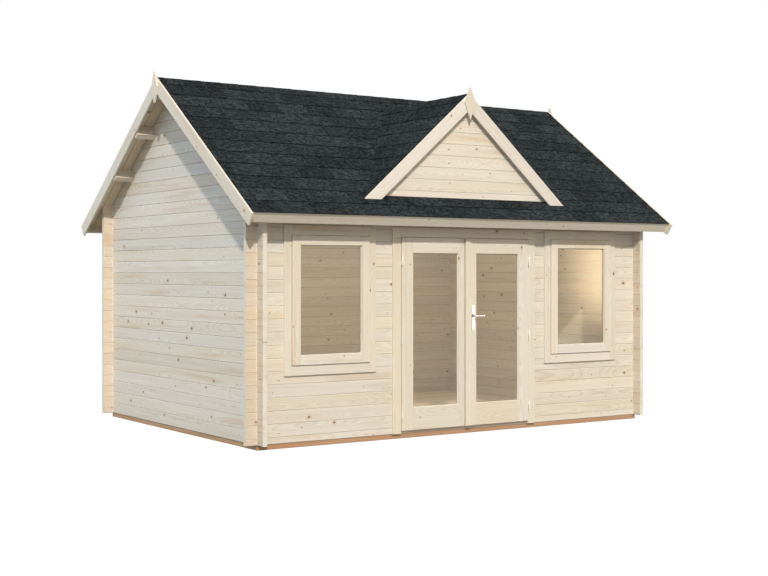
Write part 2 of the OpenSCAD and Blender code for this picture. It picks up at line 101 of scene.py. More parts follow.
print("pale spruce in linear light:", [round(c, 3) for c in linear("#E9DCC5")])

# %% [markdown]
# ## Camera
# The view is the one from the front left at eye height. The camera looks level, so that upright edges stay upright
# in the picture, and a small vertical shift frames the cabin. The focal length and the place were worked out from
# the corners, roof edges and log joints.

# %% Camera
IMAGE_W = 768
FOCAL_PX = 1311.19
HORIZON_ABOVE_MIDDLE_PX = 15.93
EYE = Vector((-7.622, -11.573, 1.536))
YAW = math.radians(33.896)

camera_data = bpy.data.cameras.new("camera")
camera_data.sensor_fit = "HORIZONTAL"
camera_data.sensor_width = 36.0
camera_data.lens = FOCAL_PX / IMAGE_W * camera_data.sensor_width
camera_data.shift_y = -HORIZON_ABOVE_MIDDLE_PX / IMAGE_W
camera = put_in_scene("camera", camera_data)
camera.location = EYE
camera.rotation_euler = (math.pi / 2, 0, -YAW)
bpy.context.scene.camera = camera
bpy.context.scene.view_settings.view_transform = "Standard"
print("lens mm:", round(camera_data.lens, 2))

# %% [markdown]
# ## Studio
# A key light stands at the front left, as low as an afternoon sun, so the eaves throw a shadow on the front wall and
# the bargeboards on the gable. A soft lamp under the ridge lights the inside, so that the room shows through the
# glass.

# %% Key light and the lamp inside
KEY_DIRECTION = Vector((0.407, 0.731, -0.572))
KEY_STRENGTH = 2.5
ROOM_LAMP_SIZE = (3.8, 2.2)
ROOM_LAMP_PLACE = (0, 0.2, 2.24)
ROOM_LAMP_WATTS = 23.0

key_data = bpy.data.lights.new("key", "SUN")
key_data.energy = KEY_STRENGTH
key_data.angle = math.radians(2.0)
key_data.color = linear("#FFF9F0")[:3]
key = put_in_scene("key", key_data)
key.rotation_euler = KEY_DIRECTION.to_track_quat("-Z", "Y").to_euler()

lamp_data = bpy.data.lights.new("room_lamp", "AREA")
lamp_data.shape = "RECTANGLE"
lamp_data.size, lamp_data.size_y = ROOM_LAMP_SIZE
lamp_data.energy = ROOM_LAMP_WATTS
lamp_data.color = linear("#FFF0DC")[:3]
lamp = put_in_scene("room_lamp", lamp_data)
lamp.location = ROOM_LAMP_PLACE
lamp.visible_camera = lamp.visible_glossy = lamp.visible_transmission = False
print("key strength:", round(key_data.energy, 2), "room lamp watts:", lamp_data.energy)

# %% [markdown]
# The room around is a soft even light. It is a little cooler on the left, as from a north window, which keeps the
# gable wall apart from the front, and stronger behind the cabin, so that its back is not left dark. The background
# is white for the eye, for reflections and through glass only, so it adds no light to the cabin. Low on the right it
# is warm and bright in reflections, like an evening sky, and the right window gleams with it.

# %% Even light and background
EVEN_COLOUR = "#FFF9EC"
EVEN_STRENGTH = 0.58
COOL_STRENGTH = 0.94
BACK_STRENGTH = 1.25
BACK_TO_THE_RIGHT = 0.75
GLEAM_STRENGTH = 10.0
# The axis of the direction that bounds the gleam, where it starts there and where it is full.
GLEAM_BOUNDS = ((0, 0.658, 0.692), (0, 0.86, 0.76), (1, 0.0, -0.1), (2, -0.052, -0.006), (2, 0.30, 0.12))


def background_rays(tree):
    path = add(tree, "LightPath").outputs
    seen = add(tree, "Math", {0: path["Is Camera Ray"], 1: path["Is Glossy Ray"]}, operation="MAXIMUM")
    return path, add(tree, "Math", {0: seen, 1: path["Is Transmission Ray"]}, operation="MAXIMUM")


world = bpy.data.worlds.new("studio")
bpy.context.scene.world = world
world.use_nodes = True
tree = world.node_tree
tree.nodes.clear()
path, seen = background_rays(tree)
towards = add(tree, "SeparateXYZ", {0: add(tree, "TexCoord").outputs["Generated"]}).outputs
leftness = add(tree, "MapRange", {0: towards[0], 1: 0.0, 2: -1.0})
even = add(tree, "Background", {"Color": linear(EVEN_COLOUR), "Strength": EVEN_STRENGTH})
cool = add(tree, "Background", {"Color": linear("#C8E5FF"), "Strength": COOL_STRENGTH})
around = add(tree, "MixShader", {0: leftness, 1: even, 2: cool})
back = add(tree, "Math", {0: towards[0], 1: BACK_TO_THE_RIGHT, 2: towards[1]}, operation="MULTIPLY_ADD")
back = add(tree, "MapRange", {0: back, 1: 0.25, 2: 1.25})
fill = add(tree, "Background", {"Color": linear(EVEN_COLOUR), "Strength": BACK_STRENGTH})
around = add(tree, "MixShader", {0: back, 1: around, 2: fill})
white = add(tree, "Background", {"Color": (1, 1, 1, 1), "Strength": 1.0})
mixed = add(tree, "MixShader", {0: seen, 1: around, 2: white})
gleam = path["Is Glossy Ray"]
for axis, start, full in GLEAM_BOUNDS:
    ramp = add(tree, "MapRange", {0: towards[axis], 1: start, 2: full}, interpolation_type="SMOOTHSTEP")
    gleam = add(tree, "Math", {0: gleam, 1: ramp}, operation="MULTIPLY")
warm = add(tree, "Background", {"Color": linear("#FFE2B8"), "Strength": GLEAM_STRENGTH})
mixed = add(tree, "MixShader", {0: gleam, 1: mixed, 2: warm})
add(tree, "OutputWorld", {"Surface": mixed})
print("studio nodes:", len(tree.nodes))

# %% [markdown]
# The floor is pale, keeps a faint shadow and is white to the eye. To the cabin it is darker, so that little light
# comes up from below.

# %% Floor
FLOOR_HALF = 14.0
GLOW_STRENGTH = 1.13
GLOW_SHARE = 0.82

floor_paint, tree = new_material("pale_studio_floor")
_, seen = background_rays(tree)
pale = add(tree, "BsdfDiffuse", {"Color": linear("#E6E6E4")})
glow = add(tree, "Emission", {"Color": (1, 1, 1, 1), "Strength": GLOW_STRENGTH})
shown = add(tree, "MixShader", {0: GLOW_SHARE, 1: pale, 2: glow})
dim = add(tree, "BsdfDiffuse", {"Color": linear("#7E7C78")})
mixed = add(tree, "MixShader", {0: seen, 1: dim, 2: shown})
add(tree, "OutputMaterial", {"Surface": mixed})
floor_mesh = bpy.data.meshes.new("studio_floor")
corners = [(x * FLOOR_HALF, y * FLOOR_HALF, 0) for x, y in ((-1, -1), (1, -1), (1, 1), (-1, 1))]
floor_mesh.from_pydata(corners, [], [(0, 1, 2, 3)])
floor_mesh.materials.append(floor_paint)
floor = put_in_scene("studio_floor", floor_mesh)
print("floor side:", 2 * FLOOR_HALF)

# %% [markdown]
# ## Planed spruce
# Spruce is pale, with yearly rings: wide light early wood and a thin darker line of late wood. A planed face cuts
# the rings lengthwise, so they show as fine streaks and flat arches, and the sawn end shows them as curves. Small
# brown knots stand where branches grew, and the grain bends round them. A picture of wood would repeat; rings
# worked out in space round a pith line give each timber its own grain, on its faces and on its ends alike. Each
# timber brings its own measures along, across and through it, and a number of its own that moves the pith, the
# knots and the tone.

# %% Grain: what a timber brings, and its chances
OTHER_DRAW = 31.7
GRAIN_INPUTS = (("Timber", "Vector"), ("Board", "Float"), ("End grain", "Float"), ("Joint", "Float"),
                ("Early wood", "Color"), ("Late wood", "Color"), ("Heart", "Color"), ("Knot", "Color"),
                ("Knot share", "Float"))
GRAIN_OUTPUTS = (("Color", "Color"), ("Roughness", "Float"), ("Height", "Float"))

spruce = bpy.data.node_groups.new("spruce_grain", "ShaderNodeTree")
for way, sockets in (("INPUT", GRAIN_INPUTS), ("OUTPUT", GRAIN_OUTPUTS)):
    for name, kind in sockets:
        spruce.interface.new_socket(name, in_out=way, socket_type="NodeSocket" + kind)
given = add(spruce, "NodeGroupInput").outputs
board = given["Board"]
along, across, through = add(spruce, "SeparateXYZ", {0: given["Timber"]}).outputs
other = add(spruce, "Math", {0: board, 1: OTHER_DRAW}, operation="ADD")
dice = []
for draw in (board, other):
    thrown = add(spruce, "TexWhiteNoise", {"W": draw}, noise_dimensions="1D")
    dice += add(spruce, "SeparateColor", {0: thrown.outputs["Color"]}).outputs
pith_die, depth_die, year_die, tone_die, tint_die, hue_die = dice
shift = add(spruce, "CombineXYZ", {0: board, 1: other, 2: board})
print("chances of a timber:", len(dice))

# %% [markdown]
# The pith is the middle of the tree. It wanders slowly along the timber and dips under its face, which opens the
# rings into arches. How far a point is from the pith says in which year its wood grew.

# %% Grain: the pith
PITH_SPREAD = 0.12
PITH_DEPTH_LEAST = 0.012
PITH_DEPTH_MOST = 0.075
WANDER = 0.035
WANDER_PER_M = 0.55
DIP = 0.055
DIP_PER_M = 0.8

slow = []
for per_m, start in ((WANDER_PER_M, board), (DIP_PER_M, other)):
    where = add(spruce, "Math", {0: along, 1: per_m, 2: start}, operation="MULTIPLY_ADD")
    slow.append(add(spruce, "TexNoise", {"W": where, "Scale": 1.0, "Detail": 1.0}, noise_dimensions="1D"))
wander = add(spruce, "MapRange", {0: slow[0], 3: -WANDER, 4: WANDER})
dip = add(spruce, "MapRange", {0: slow[1], 1: 0.25, 2: 0.75, 3: -DIP, 4: DIP})
pith = add(spruce, "MapRange", {0: pith_die, 3: -PITH_SPREAD / 2, 4: PITH_SPREAD / 2})
depth = add(spruce, "MapRange", {0: depth_die, 3: PITH_DEPTH_LEAST, 4: PITH_DEPTH_MOST})
offsets = []
for measure, middle, drift in ((across, pith, wander), (through, depth, dip)):
    middle = add(spruce, "Math", {0: middle, 1: drift}, operation="ADD")
    offsets.append(add(spruce, "Math", {0: measure, 1: middle}, operation="SUBTRACT"))
radius = add(spruce, "CombineXYZ", {0: offsets[0], 1: offsets[1]})
radius = add(spruce, "VectorMath", {0: radius}, operation="LENGTH")
print("nodes up to the pith:", len(spruce.nodes))

# %% [markdown]
# One knot stands in each stretch of the timber, and only some of the stretches show theirs. Each has a soft edge and
# a wide halo, in which the grain bends and darkens.

# %% Grain: knots
KNOT_SPACING = 0.46
KNOT_LEAST = 0.0026
KNOT_MOST = 0.0105
KNOT_BAND = 0.036
KNOT_STRETCH = 1.35

stretch = add(spruce, "Math", {0: along, 1: 1 / KNOT_SPACING, 2: other}, operation="MULTIPLY_ADD")
stretch = add(spruce, "TexVoronoi", {"W": stretch, "Scale": 1.0, "Randomness": 0.9}, voronoi_dimensions="1D")
lot = add(spruce, "SeparateColor", {0: stretch.outputs["Color"]}).outputs
knot_x = add(spruce, "Math", {0: stretch, 1: KNOT_SPACING / KNOT_STRETCH}, operation="MULTIPLY")
knot_y = add(spruce, "MapRange", {0: lot[0], 3: -KNOT_BAND, 4: KNOT_BAND})
knot_y = add(spruce, "Math", {0: across, 1: knot_y}, operation="SUBTRACT")
knot_size = add(spruce, "Math", {0: lot[1], 1: 2.0}, operation="POWER")
knot_size = add(spruce, "MapRange", {0: knot_size, 3: KNOT_LEAST, 4: KNOT_MOST})
reach = add(spruce, "CombineXYZ", {0: knot_x, 1: knot_y})
reach = add(spruce, "VectorMath", {0: reach}, operation="LENGTH")
reach = add(spruce, "Math", {0: reach, 1: knot_size}, operation="DIVIDE")
shown = add(spruce, "Math", {0: lot[2], 1: given["Knot share"]}, operation="LESS_THAN")
rims = []
for inner, outer in ((0.7, 1.25), (1.0, 4.5)):
    rim = add(spruce, "MapRange", {0: reach, 1: inner, 2: outer, 3: 1.0, 4: 0.0}, interpolation_type="SMOOTHSTEP")
    rims.append(add(spruce, "Math", {0: rim, 1: shown}, operation="MULTIPLY"))
knot, halo = rims
print("nodes up to the knots:", len(spruce.nodes))

# %% [markdown]
# The rings are bent by a fine waver and by the knots, with the late wood as the dark end of each year. Streaks run
# along the fibres, and broader flames have the tint of the heart wood.

# %% Grain: rings, fibres and heart wood
# Real rings are 2 to 4 mm apart. They are drawn three times as wide, because finer ones would not show.
RING = 0.0095
RING_SPREAD = 0.0080
WAVER = 0.0045
KNOT_PUSH = 0.007
LATE_POWER = 2.4
# How often each pattern comes in a metre along, across and through the timber, its detail and its roughness. The
# fibres are streaks 30 mm wide and a metre long, with finer ones down to 1 mm in them.
PATTERNS = (("waver", (1.6, 17, 17), 2.0, 0.5), ("fibre", (0.9, 34, 34), 5.0, 0.62),
            ("flame", (0.75, 10, 10), 2.0, 0.5))

drawn_as = {}
for name, per_m, detail, roughness in PATTERNS:
    where = add(spruce, "VectorMath", {0: given["Timber"], 1: per_m, 2: shift}, operation="MULTIPLY_ADD")
    drawn_as[name] = add(spruce, "TexNoise", {"Vector": where, "Scale": 1.0, "Detail": detail, "Roughness": roughness})
fibre = drawn_as["fibre"]
bent = add(spruce, "MapRange", {0: drawn_as["waver"], 3: -WAVER, 4: WAVER})
bent = add(spruce, "Math", {0: radius, 1: bent}, operation="ADD")
bent = add(spruce, "Math", {0: halo, 1: KNOT_PUSH, 2: bent}, operation="MULTIPLY_ADD")
year = add(spruce, "MapRange", {0: year_die, 3: RING, 4: RING + RING_SPREAD})
ring = add(spruce, "Math", {0: bent, 1: year}, operation="DIVIDE")
ring = add(spruce, "Math", {0: ring}, operation="FRACT")
late = add(spruce, "Math", {0: ring, 1: LATE_POWER}, operation="POWER")
heart = add(spruce, "MapRange", {0: drawn_as["flame"], 1: 0.56, 2: 0.78, 4: 0.55}, interpolation_type="SMOOTHSTEP")
streak = add(spruce, "MapRange", {0: fibre, 1: 0.3, 2: 0.75, 4: 0.55})
print("nodes up to the rings:", len(spruce.nodes))

# %% [markdown]
# The colours lie over each other: early and late wood, the heart wood, then the timber's own tone, the tinge round a
# knot, the knot, the paler sawn end, and in the joints a darker brown that is partly dust and partly painted shade.
# Fibres and knots also stand up a little from the late wood, which gives the relief.

# %% Grain: colour, roughness and relief
LATE_SHARE = 0.58
TONE = (0.94, 1.055)
TINT = (0.76, 1.20)
HUE = (0.492, 0.506)
TINGE_SHARE = 0.7
END_SHARE = 0.45
# Share of the knot brown on the faces in a joint: painted shade in the joint, with some dust.
JOINT_SHADE_AND_DUST_SHARE = 0.30

dark = add(spruce, "Math", {0: late, 1: LATE_SHARE, 2: streak}, operation="MULTIPLY_ADD", use_clamp=True)
colour = add(spruce, "Mix", {0: dark, 6: given["Early wood"], 7: given["Late wood"]}, data_type="RGBA")
colour = add(spruce, "Mix", {0: heart, 6: colour, 7: given["Heart"]}, data_type="RGBA")
own = {"Color": colour}
for name, die, (least, most) in (("Value", tone_die, TONE), ("Saturation", tint_die, TINT), ("Hue", hue_die, HUE)):
    own[name] = add(spruce, "MapRange", {0: die, 3: least, 4: most})
colour = add(spruce, "HueSaturation", own)
tinge = add(spruce, "Math", {0: halo, 1: halo}, operation="MULTIPLY")
tinge = add(spruce, "Math", {0: tinge, 1: TINGE_SHARE}, operation="MULTIPLY")
russet = add(spruce, "Math", {0: lot[0], 1: 7.0}, operation="MULTIPLY")
russet = add(spruce, "Math", {0: russet}, operation="FRACT")
russet = add(spruce, "Math", {0: russet, 1: 2.0}, operation="POWER")
branch = add(spruce, "Mix", {0: russet, 6: given["Knot"], 7: linear("#93683F")}, data_type="RGBA")
sawn = add(spruce, "Math", {0: given["End grain"], 1: END_SHARE}, operation="MULTIPLY")
# Painted shade and dust: the faces in a joint are darkened towards the knot brown.
joint_shade_and_dust = add(spruce, "Math", {0: given["Joint"], 1: JOINT_SHADE_AND_DUST_SHARE}, operation="MULTIPLY")
for share, over in ((tinge, given["Heart"]), (knot, branch), (sawn, given["Early wood"]), (joint_shade_and_dust, given["Knot"])):
    colour = add(spruce, "Mix", {0: share, 6: colour, 7: over}, data_type="RGBA")
rough = add(spruce, "MapRange", {0: fibre, 3: 0.48, 4: 0.74})
rough = add(spruce, "Math", {0: given["End grain"], 1: 0.2, 2: rough}, operation="MULTIPLY_ADD")
height = add(spruce, "Math", {0: late, 1: -0.5, 2: fibre}, operation="MULTIPLY_ADD")
height = add(spruce, "Math", {0: knot, 1: 0.8, 2: height}, operation="MULTIPLY_ADD")
add(spruce, "NodeGroupOutput", {"Color": colour, "Roughness": rough, "Height": height})
print("grain nodes:", len(spruce.nodes))

# %% [markdown]
# The grain becomes a material when it gets colours and a shader. Planed, untreated spruce is nearly matt. The logs,
# the joinery, the roof timber and the floor are the same wood from different cuts, so only their colours and their
# share of knots differ. The ends of the logs that stand past the corners take up damp and have aged a little, which
# makes their sides warmer. The bearers are pressure-treated brown against damp.

# %% Timber materials
# Just outside the faces of the walls, in X and Y. Nothing is as high as the third number.
CORNER = (2.252, 1.622, 9.0)
AGED = 0.42
AGED_EDGE = 0.01


def timber_material(name, early, late_wood, heart_wood, knot_colour, knot_share, relief_mm, aged_ends=False):
    material, tree = new_material(name)
    marks = {mark: add(tree, "Attribute", attribute_name=mark).outputs
             for mark in ("timber", "board", "end_grain", "joint")}
    end = marks["end_grain"]["Fac"]
    grain = add(tree, "Group", {
        "Timber": marks["timber"]["Vector"], "Board": marks["board"]["Fac"], "End grain": end,
        "Joint": marks["joint"]["Fac"], "Early wood": linear(early), "Late wood": linear(late_wood),
        "Heart": linear(heart_wood), "Knot": linear(knot_colour), "Knot share": knot_share}, node_tree=spruce).outputs
    bump = add(tree, "Bump", {"Height": grain["Height"], "Distance": relief_mm / 1000, "Strength": 1.0})
    colour = grain["Color"]
    if aged_ends:
        spot = add(tree, "TexCoord").outputs["Object"]
        spot = add(tree, "VectorMath", {0: spot}, operation="ABSOLUTE")
        spot = add(tree, "VectorMath", {0: spot, 1: CORNER}, operation="SUBTRACT")
        spot = add(tree, "SeparateXYZ", {0: spot}).outputs
        past = add(tree, "Math", {0: spot[0], 1: spot[1]}, operation="MAXIMUM")
        past = add(tree, "MapRange", {0: past, 1: 0.0, 2: AGED_EDGE, 4: AGED})
        side = add(tree, "Math", {0: 1.0, 1: end}, operation="SUBTRACT")
        past = add(tree, "Math", {0: past, 1: side}, operation="MULTIPLY")
        colour = add(tree, "Mix", {0: past, 6: colour, 7: linear(heart_wood)}, data_type="RGBA")
    wood = add(tree, "BsdfPrincipled", {"Base Color": colour, "Roughness": grain["Roughness"], "Normal": bump,
                                        "IOR": 1.5, "Specular IOR Level": 0.35})
    add(tree, "OutputMaterial", {"Surface": wood})
    return material


timber_of_slot = {
    "wall_logs": timber_material("planed_spruce_logs", "#EFE8DB", "#DBCBB3", "#D2B795", "#46372A", 0.42, 0.25, True),
    "planed_joinery": timber_material("planed_spruce_joinery", "#F0E7D8", "#DED0B9", "#D6BC9A", "#4A3A2C", 0.30, 0.2),
    "roof_timber": timber_material("planed_spruce_roof", "#EADFCB", "#D3BF9F", "#C9AE8A", "#46372A", 0.45, 0.3),
    "floor_boards": timber_material("planed_spruce_floor", "#F3EADA", "#DDCBAE", "#D3B994", "#46372A", 0.40, 0.25),
    "treated_timber": timber_material("treated_spruce_brown", "#C89F79", "#AC7F58", "#A07149", "#5A3D26", 0.25, 0.5),
}
print("timber finishes:", sorted(timber_of_slot))

# %% [markdown]
# ## Timbers from the solids
# Each solid of the frame is one log, board or rail. A copy of a node's mesh is merged, its flat faces are made whole
# again, and it is split into its solids by following the edges from point to point.

# %% Split a node into its solids
MERGE = 1e-5
FLAT = math.radians(0.5)


def solids_of(mesh):
    whole = bmesh.new()
    whole.from_mesh(mesh)
    bmesh.ops.remove_doubles(whole, verts=whole.verts, dist=MERGE)
    bmesh.ops.dissolve_limit(whole, angle_limit=FLAT, verts=whole.verts, edges=whole.edges)
    whole.verts.index_update()
    whole.faces.index_update()
    done = set()
    for first in whole.verts:
        group, todo = set(), [] if first in done else [first]
        while todo:
            vert = todo.pop()
            if vert not in group:
                group.add(vert)
                todo.extend(edge.other_vert(vert) for edge in vert.link_edges)
        if not group:
            continue
        done |= group
        solid = bmesh.new()
        copies = {vert: solid.verts.new(vert.co) for vert in sorted(group, key=lambda v: v.index)}
        for face in sorted({f for v in group for f in v.link_faces}, key=lambda f: f.index):
            solid.faces.new([copies[v] for v in face.verts])
        yield solid
    whole.free()


print("logs in the even courses of the front:", sum(1 for _ in solids_of(nodes["front_wall_even_logs"].data)))

# %% [markdown]
# Each timber is measured: the grain follows the longest straight edge, and the places along, across and through the
# timber are kept on its points for the grain to read. A planer also takes the sharp arris off a board, so joinery
# and trim get a small bevel, which catches the light along the edges. Logs keep the profile they were milled with.

# %% Measure and mark the timbers
RIGHT, BACK, UP = Vector((1, 0, 0)), Vector((0, 1, 0)), Vector((0, 0, 1))
AXES = {"X": RIGHT, "Y": BACK, "Z": UP}
# The joint mark is on the faces slanted into a joint, where the grain paints shade and dust.
MARKS = (("timber", "FLOAT_VECTOR", "POINT", "vector"), ("board", "FLOAT", "POINT", "value"),
         ("end_grain", "FLOAT", "FACE", "value"), ("joint", "FLOAT", "FACE", "value"))
ARRIS_ANGLE = 0.5
END_FACING = 0.8
SLANTED = 0.9
# Each timber and each laid piece draws a number up to this.
NUMBERS = 400
lots = random.Random(11)


def timber_axes(solid, grain):
    rods = sorted(((e.verts[1].co - e.verts[0].co) for e in solid.edges), key=lambda rod: -rod.length)
    u = AXES[grain] if grain else rods[0].normalized()
    v = max((rod - u * rod.dot(u) for rod in rods), key=lambda rod: rod.length).normalized()
    return u, v, u.cross(v)


def round_arris(solid, width):
    edges = [e for e in solid.edges if len(e.link_faces) == 2 and e.calc_face_angle(0) > ARRIS_ANGLE]
    bmesh.ops.bevel(solid, geom=edges, offset=width, segments=2, profile=0.5, affect="EDGES", clamp_overlap=True)


def timber_mesh(name, solids, grain=None, arris=0.0, joints=""):
    points, faces, places, numbers, ends, dark = [], [], [], [], [], []
    for solid in solids:
        solid.normal_update()
        axes = timber_axes(solid, grain)
        spans = [[p.co.dot(axis) for p in solid.verts] for axis in axes]
        middle = [(min(span) + max(span)) / 2 for span in spans]
        if arris:
            round_arris(solid, arris)
        solid.normal_update()
        number = lots.uniform(0, NUMBERS)
        start = len(points)
        solid.verts.index_update()
        for p in solid.verts:
            points.append(p.co.copy())
            places.extend(p.co.dot(axis) - mid for axis, mid in zip(axes, middle))
            numbers.append(number)
        for face in solid.faces:
            faces.append([start + p.index for p in face.verts])
            facing = [abs(face.normal.dot(axis)) for axis in axes]
            # A face slanted into a joint is marked for painted shade and dust. On logs only the faces that look down,
            # which lie in shade, are marked. On boards every slanted face is marked.
            shaded_joint_face = joints == "all" or joints == "lower" and face.normal.z < 0
            ends.append(1.0 if facing[0] > END_FACING else 0.0)
            dark.append(1.0 if shaded_joint_face and max(facing) < SLANTED else 0.0)
        solid.free()
    mesh = bpy.data.meshes.new(name)
    mesh.from_pydata(points, [], faces)
    for (mark, kind, domain, field), values in zip(MARKS, (places, numbers, ends, dark)):
        mesh.attributes.new(mark, kind, domain).data.foreach_set(field, values)
    return mesh


print("marks on a timber:", [mark[0] for mark in MARKS])

# %% [markdown]
# A finished piece gets its material and rides on a body of the frame, and the nodes that it stands for are hidden.
# Boards that are one slab in the frame, and the ornaments, get shapes of their own further on.

# %% Logs, joinery, trim and bearers
GRAIN_OF = {"front_wall": "X", "back_wall_": "X", "left_wall_": "Y", "right_wall": "Y"}
SHAPED_LATER = ("floor_boards", "front_roof_boards", "back_roof_boards", "dormer_cladding", "gable_ornaments",
                "dormer_ornament")
ARRIS = {"wall_logs": 0.0, "planed_joinery": 0.0025, "roof_timber": 0.003, "treated_timber": 0.003}


def show(mesh, body, slot, material, *stands_for):
    mesh.materials.clear()
    mesh.materials.append(material)
    piece = put_in_scene(mesh.name, mesh)
    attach(piece, body)
    if stands_for:
        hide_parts(*stands_for)


for node, slot in slot_of.items():
    if slot in ARRIS and node not in SHAPED_LATER:
        mesh = timber_mesh(node + "_timber", solids_of(nodes[node].data), GRAIN_OF.get(node[:10]), ARRIS[slot],
                           "lower" if slot == "wall_logs" else "")
        show(mesh, body_of[node], slot, timber_of_slot[slot], node)
        print(node, "timber faces:", len(mesh.polygons))

# %% [markdown]
# ## Rows of boards and tabs
# Floor boards, roof boards, cladding and shingles are each one shape laid in rows. They could be copied in a loop,
# but a Geometry Nodes tree states the rule once: a grid of points, every other row slid along, a little play as a
# hand leaves it, and one number for each piece so that its finish differs from its neighbour's. The same tree lays
# them all, with other sizes.

# %% Tree that lays one shape in rows
ROW_INPUTS = (("Shape", "Object"), ("Columns", "Int"), ("Rows", "Int"), ("Column pitch", "Float"),
              ("Row pitch", "Float"), ("Row shift", "Float"), ("Play", "Float"), ("Seed", "Int"),
              ("Finish", "Material"))

row_tree = bpy.data.node_groups.new("lay_in_rows", "GeometryNodeTree")
row_tree.is_modifier = True
row_tree.interface.new_socket("Geometry", in_out="OUTPUT", socket_type="NodeSocketGeometry")
for name, kind in ROW_INPUTS:
    row_tree.interface.new_socket(name, in_out="INPUT", socket_type="NodeSocket" + kind)
given = add(row_tree, "NodeGroupInput").outputs
sides = []
for count, pitch in (("Columns", "Column pitch"), ("Rows", "Row pitch")):
    gaps = add(row_tree, "Math", {0: given[count], 1: 1.0}, operation="SUBTRACT")
    sides.append(add(row_tree, "Math", {0: gaps, 1: given[pitch]}, operation="MULTIPLY"))
grid = add(row_tree, "GeometryNodeMeshGrid", {"Size X": sides[0], "Size Y": sides[1],
                                              "Vertices X": given["Columns"], "Vertices Y": given["Rows"]})
index = add(row_tree, "GeometryNodeInputIndex")
odd = add(row_tree, "Math", {0: index, 1: given["Rows"]}, operation="MODULO")
odd = add(row_tree, "Math", {0: odd, 1: 2.0}, operation="MODULO")
slide = add(row_tree, "Math", {0: odd, 1: given["Row shift"]}, operation="MULTIPLY")
slide = add(row_tree, "CombineXYZ", {0: slide})
loose = add(row_tree, "FunctionNodeRandomValue", {0: (-1, -1, 0), 1: (1, 1, 0), "Seed": given["Seed"]},
            data_type="FLOAT_VECTOR")
loose = add(row_tree, "VectorMath", {0: loose, "Scale": given["Play"]}, operation="SCALE")
slide = add(row_tree, "VectorMath", {0: slide, 1: loose}, operation="ADD")
spots = add(row_tree, "GeometryNodeSetPosition", {"Geometry": grid, "Offset": slide})
shape = add(row_tree, "GeometryNodeObjectInfo", {"Object": given["Shape"]})
laid = add(row_tree, "GeometryNodeInstanceOnPoints", {"Points": spots, "Instance": shape.outputs["Geometry"]})
number = add(row_tree, "FunctionNodeRandomValue", {2: 0.0, 3: float(NUMBERS), "Seed": given["Seed"]}, data_type="FLOAT")
laid = add(row_tree, "GeometryNodeStoreNamedAttribute", {"Geometry": laid, "Name": "board", "Value": number},
           data_type="FLOAT", domain="INSTANCE")
laid = add(row_tree, "GeometryNodeRealizeInstances", {0: laid})
laid = add(row_tree, "GeometryNodeSetMaterial", {"Geometry": laid, "Material": given["Finish"]})
add(row_tree, "NodeGroupOutput", {0: laid})
row_socket = {item.name: item.identifier for item in row_tree.interface.items_tree if item.in_out == "INPUT"}


def lay(name, shape_mesh, finish, seed, columns=1, rows=1, column_pitch=1.0, row_pitch=1.0, row_shift=0.0, play=0.0):
    shape = put_in_scene(name + "_shape", shape_mesh)
    host = put_in_scene(name, bpy.data.meshes.new(name))
    modifier = host.modifiers.new("rows", "NODES")
    modifier.node_group = row_tree
    values = (shape, columns, rows, column_pitch, row_pitch, row_shift, play, seed, finish)
    for (title, _), value in zip(ROW_INPUTS, values):
        modifier[row_socket[title]] = value
    view = bpy.context.evaluated_depsgraph_get()
    mesh = bpy.data.meshes.new_from_object(host.evaluated_get(view))
    host.modifiers.remove(modifier)
    bpy.data.meshes.remove(host.data)
    bpy.data.meshes.remove(shape_mesh)
    mesh.name = name
    return mesh


print("row inputs:", sorted(row_socket))

# %% [markdown]
# A laid field is longer than its place, as on site, and is then sawn to the line: at the gable ends, along the eave,
# at the ridge and where the dormer meets the big slope. A plane cut that closes the sawn ends does the same here.
# A board is drawn as an outline with a length, and its two upper edges are planed off for the open joint.

# %% Sawing to the line, and drawn shapes
SAW_TOUCH = 1e-6


def saw(mesh, *cuts):
    whole = bmesh.new()
    whole.from_mesh(mesh)
    for point, outward in cuts:
        parts = whole.verts[:] + whole.edges[:] + whole.faces[:]
        cut = bmesh.ops.bisect_plane(whole, geom=parts, dist=SAW_TOUCH, plane_co=point, plane_no=outward,
                                     clear_outer=True)
        rim = [part for part in cut["geom_cut"] if isinstance(part, bmesh.types.BMEdge) and part.is_boundary]
        bmesh.ops.holes_fill(whole, edges=rim)
    bmesh.ops.recalc_face_normals(whole, faces=whole.faces)
    whole.to_mesh(mesh)
    whole.free()
    return mesh


def drawn(outline, length):
    solid = bmesh.new()
    ends = [[solid.verts.new((x, y, z)) for y, z in outline] for x in (-length / 2, length / 2)]
    solid.faces.new(ends[0][::-1])
    solid.faces.new(ends[1])
    for i, _ in enumerate(outline):
        j = (i + 1) % len(outline)
        solid.faces.new((ends[0][i], ends[0][j], ends[1][j], ends[1][i]))
    bmesh.ops.recalc_face_normals(solid, faces=solid.faces)
    return solid


def board_outline(width, thickness, joint):
    w, t = width / 2, thickness / 2
    return [(-w, -t), (w, -t), (w, t - joint), (w - joint, t), (joint - w, t), (-w, t - joint)]


def board_shape(length, width, thickness, joint):
    mesh = timber_mesh("board_shape", [drawn(board_outline(width, thickness, joint), length)], "X", joints="all")
    mesh.attributes.remove(mesh.attributes["board"])
    return mesh


print("corners of a board's outline:", len(board_outline(0.1, 0.02, 0.002)))

# %% [markdown]
# ## Floor and roof boards
# The floor is tongued boards laid along the room. It shows through the glass. One row of long boards, each as wide as
# its share of the floor, fills the place of the slab.

# %% Floor boards
FLOOR_ROWS = 33
FLOOR_JOINT = 0.0015

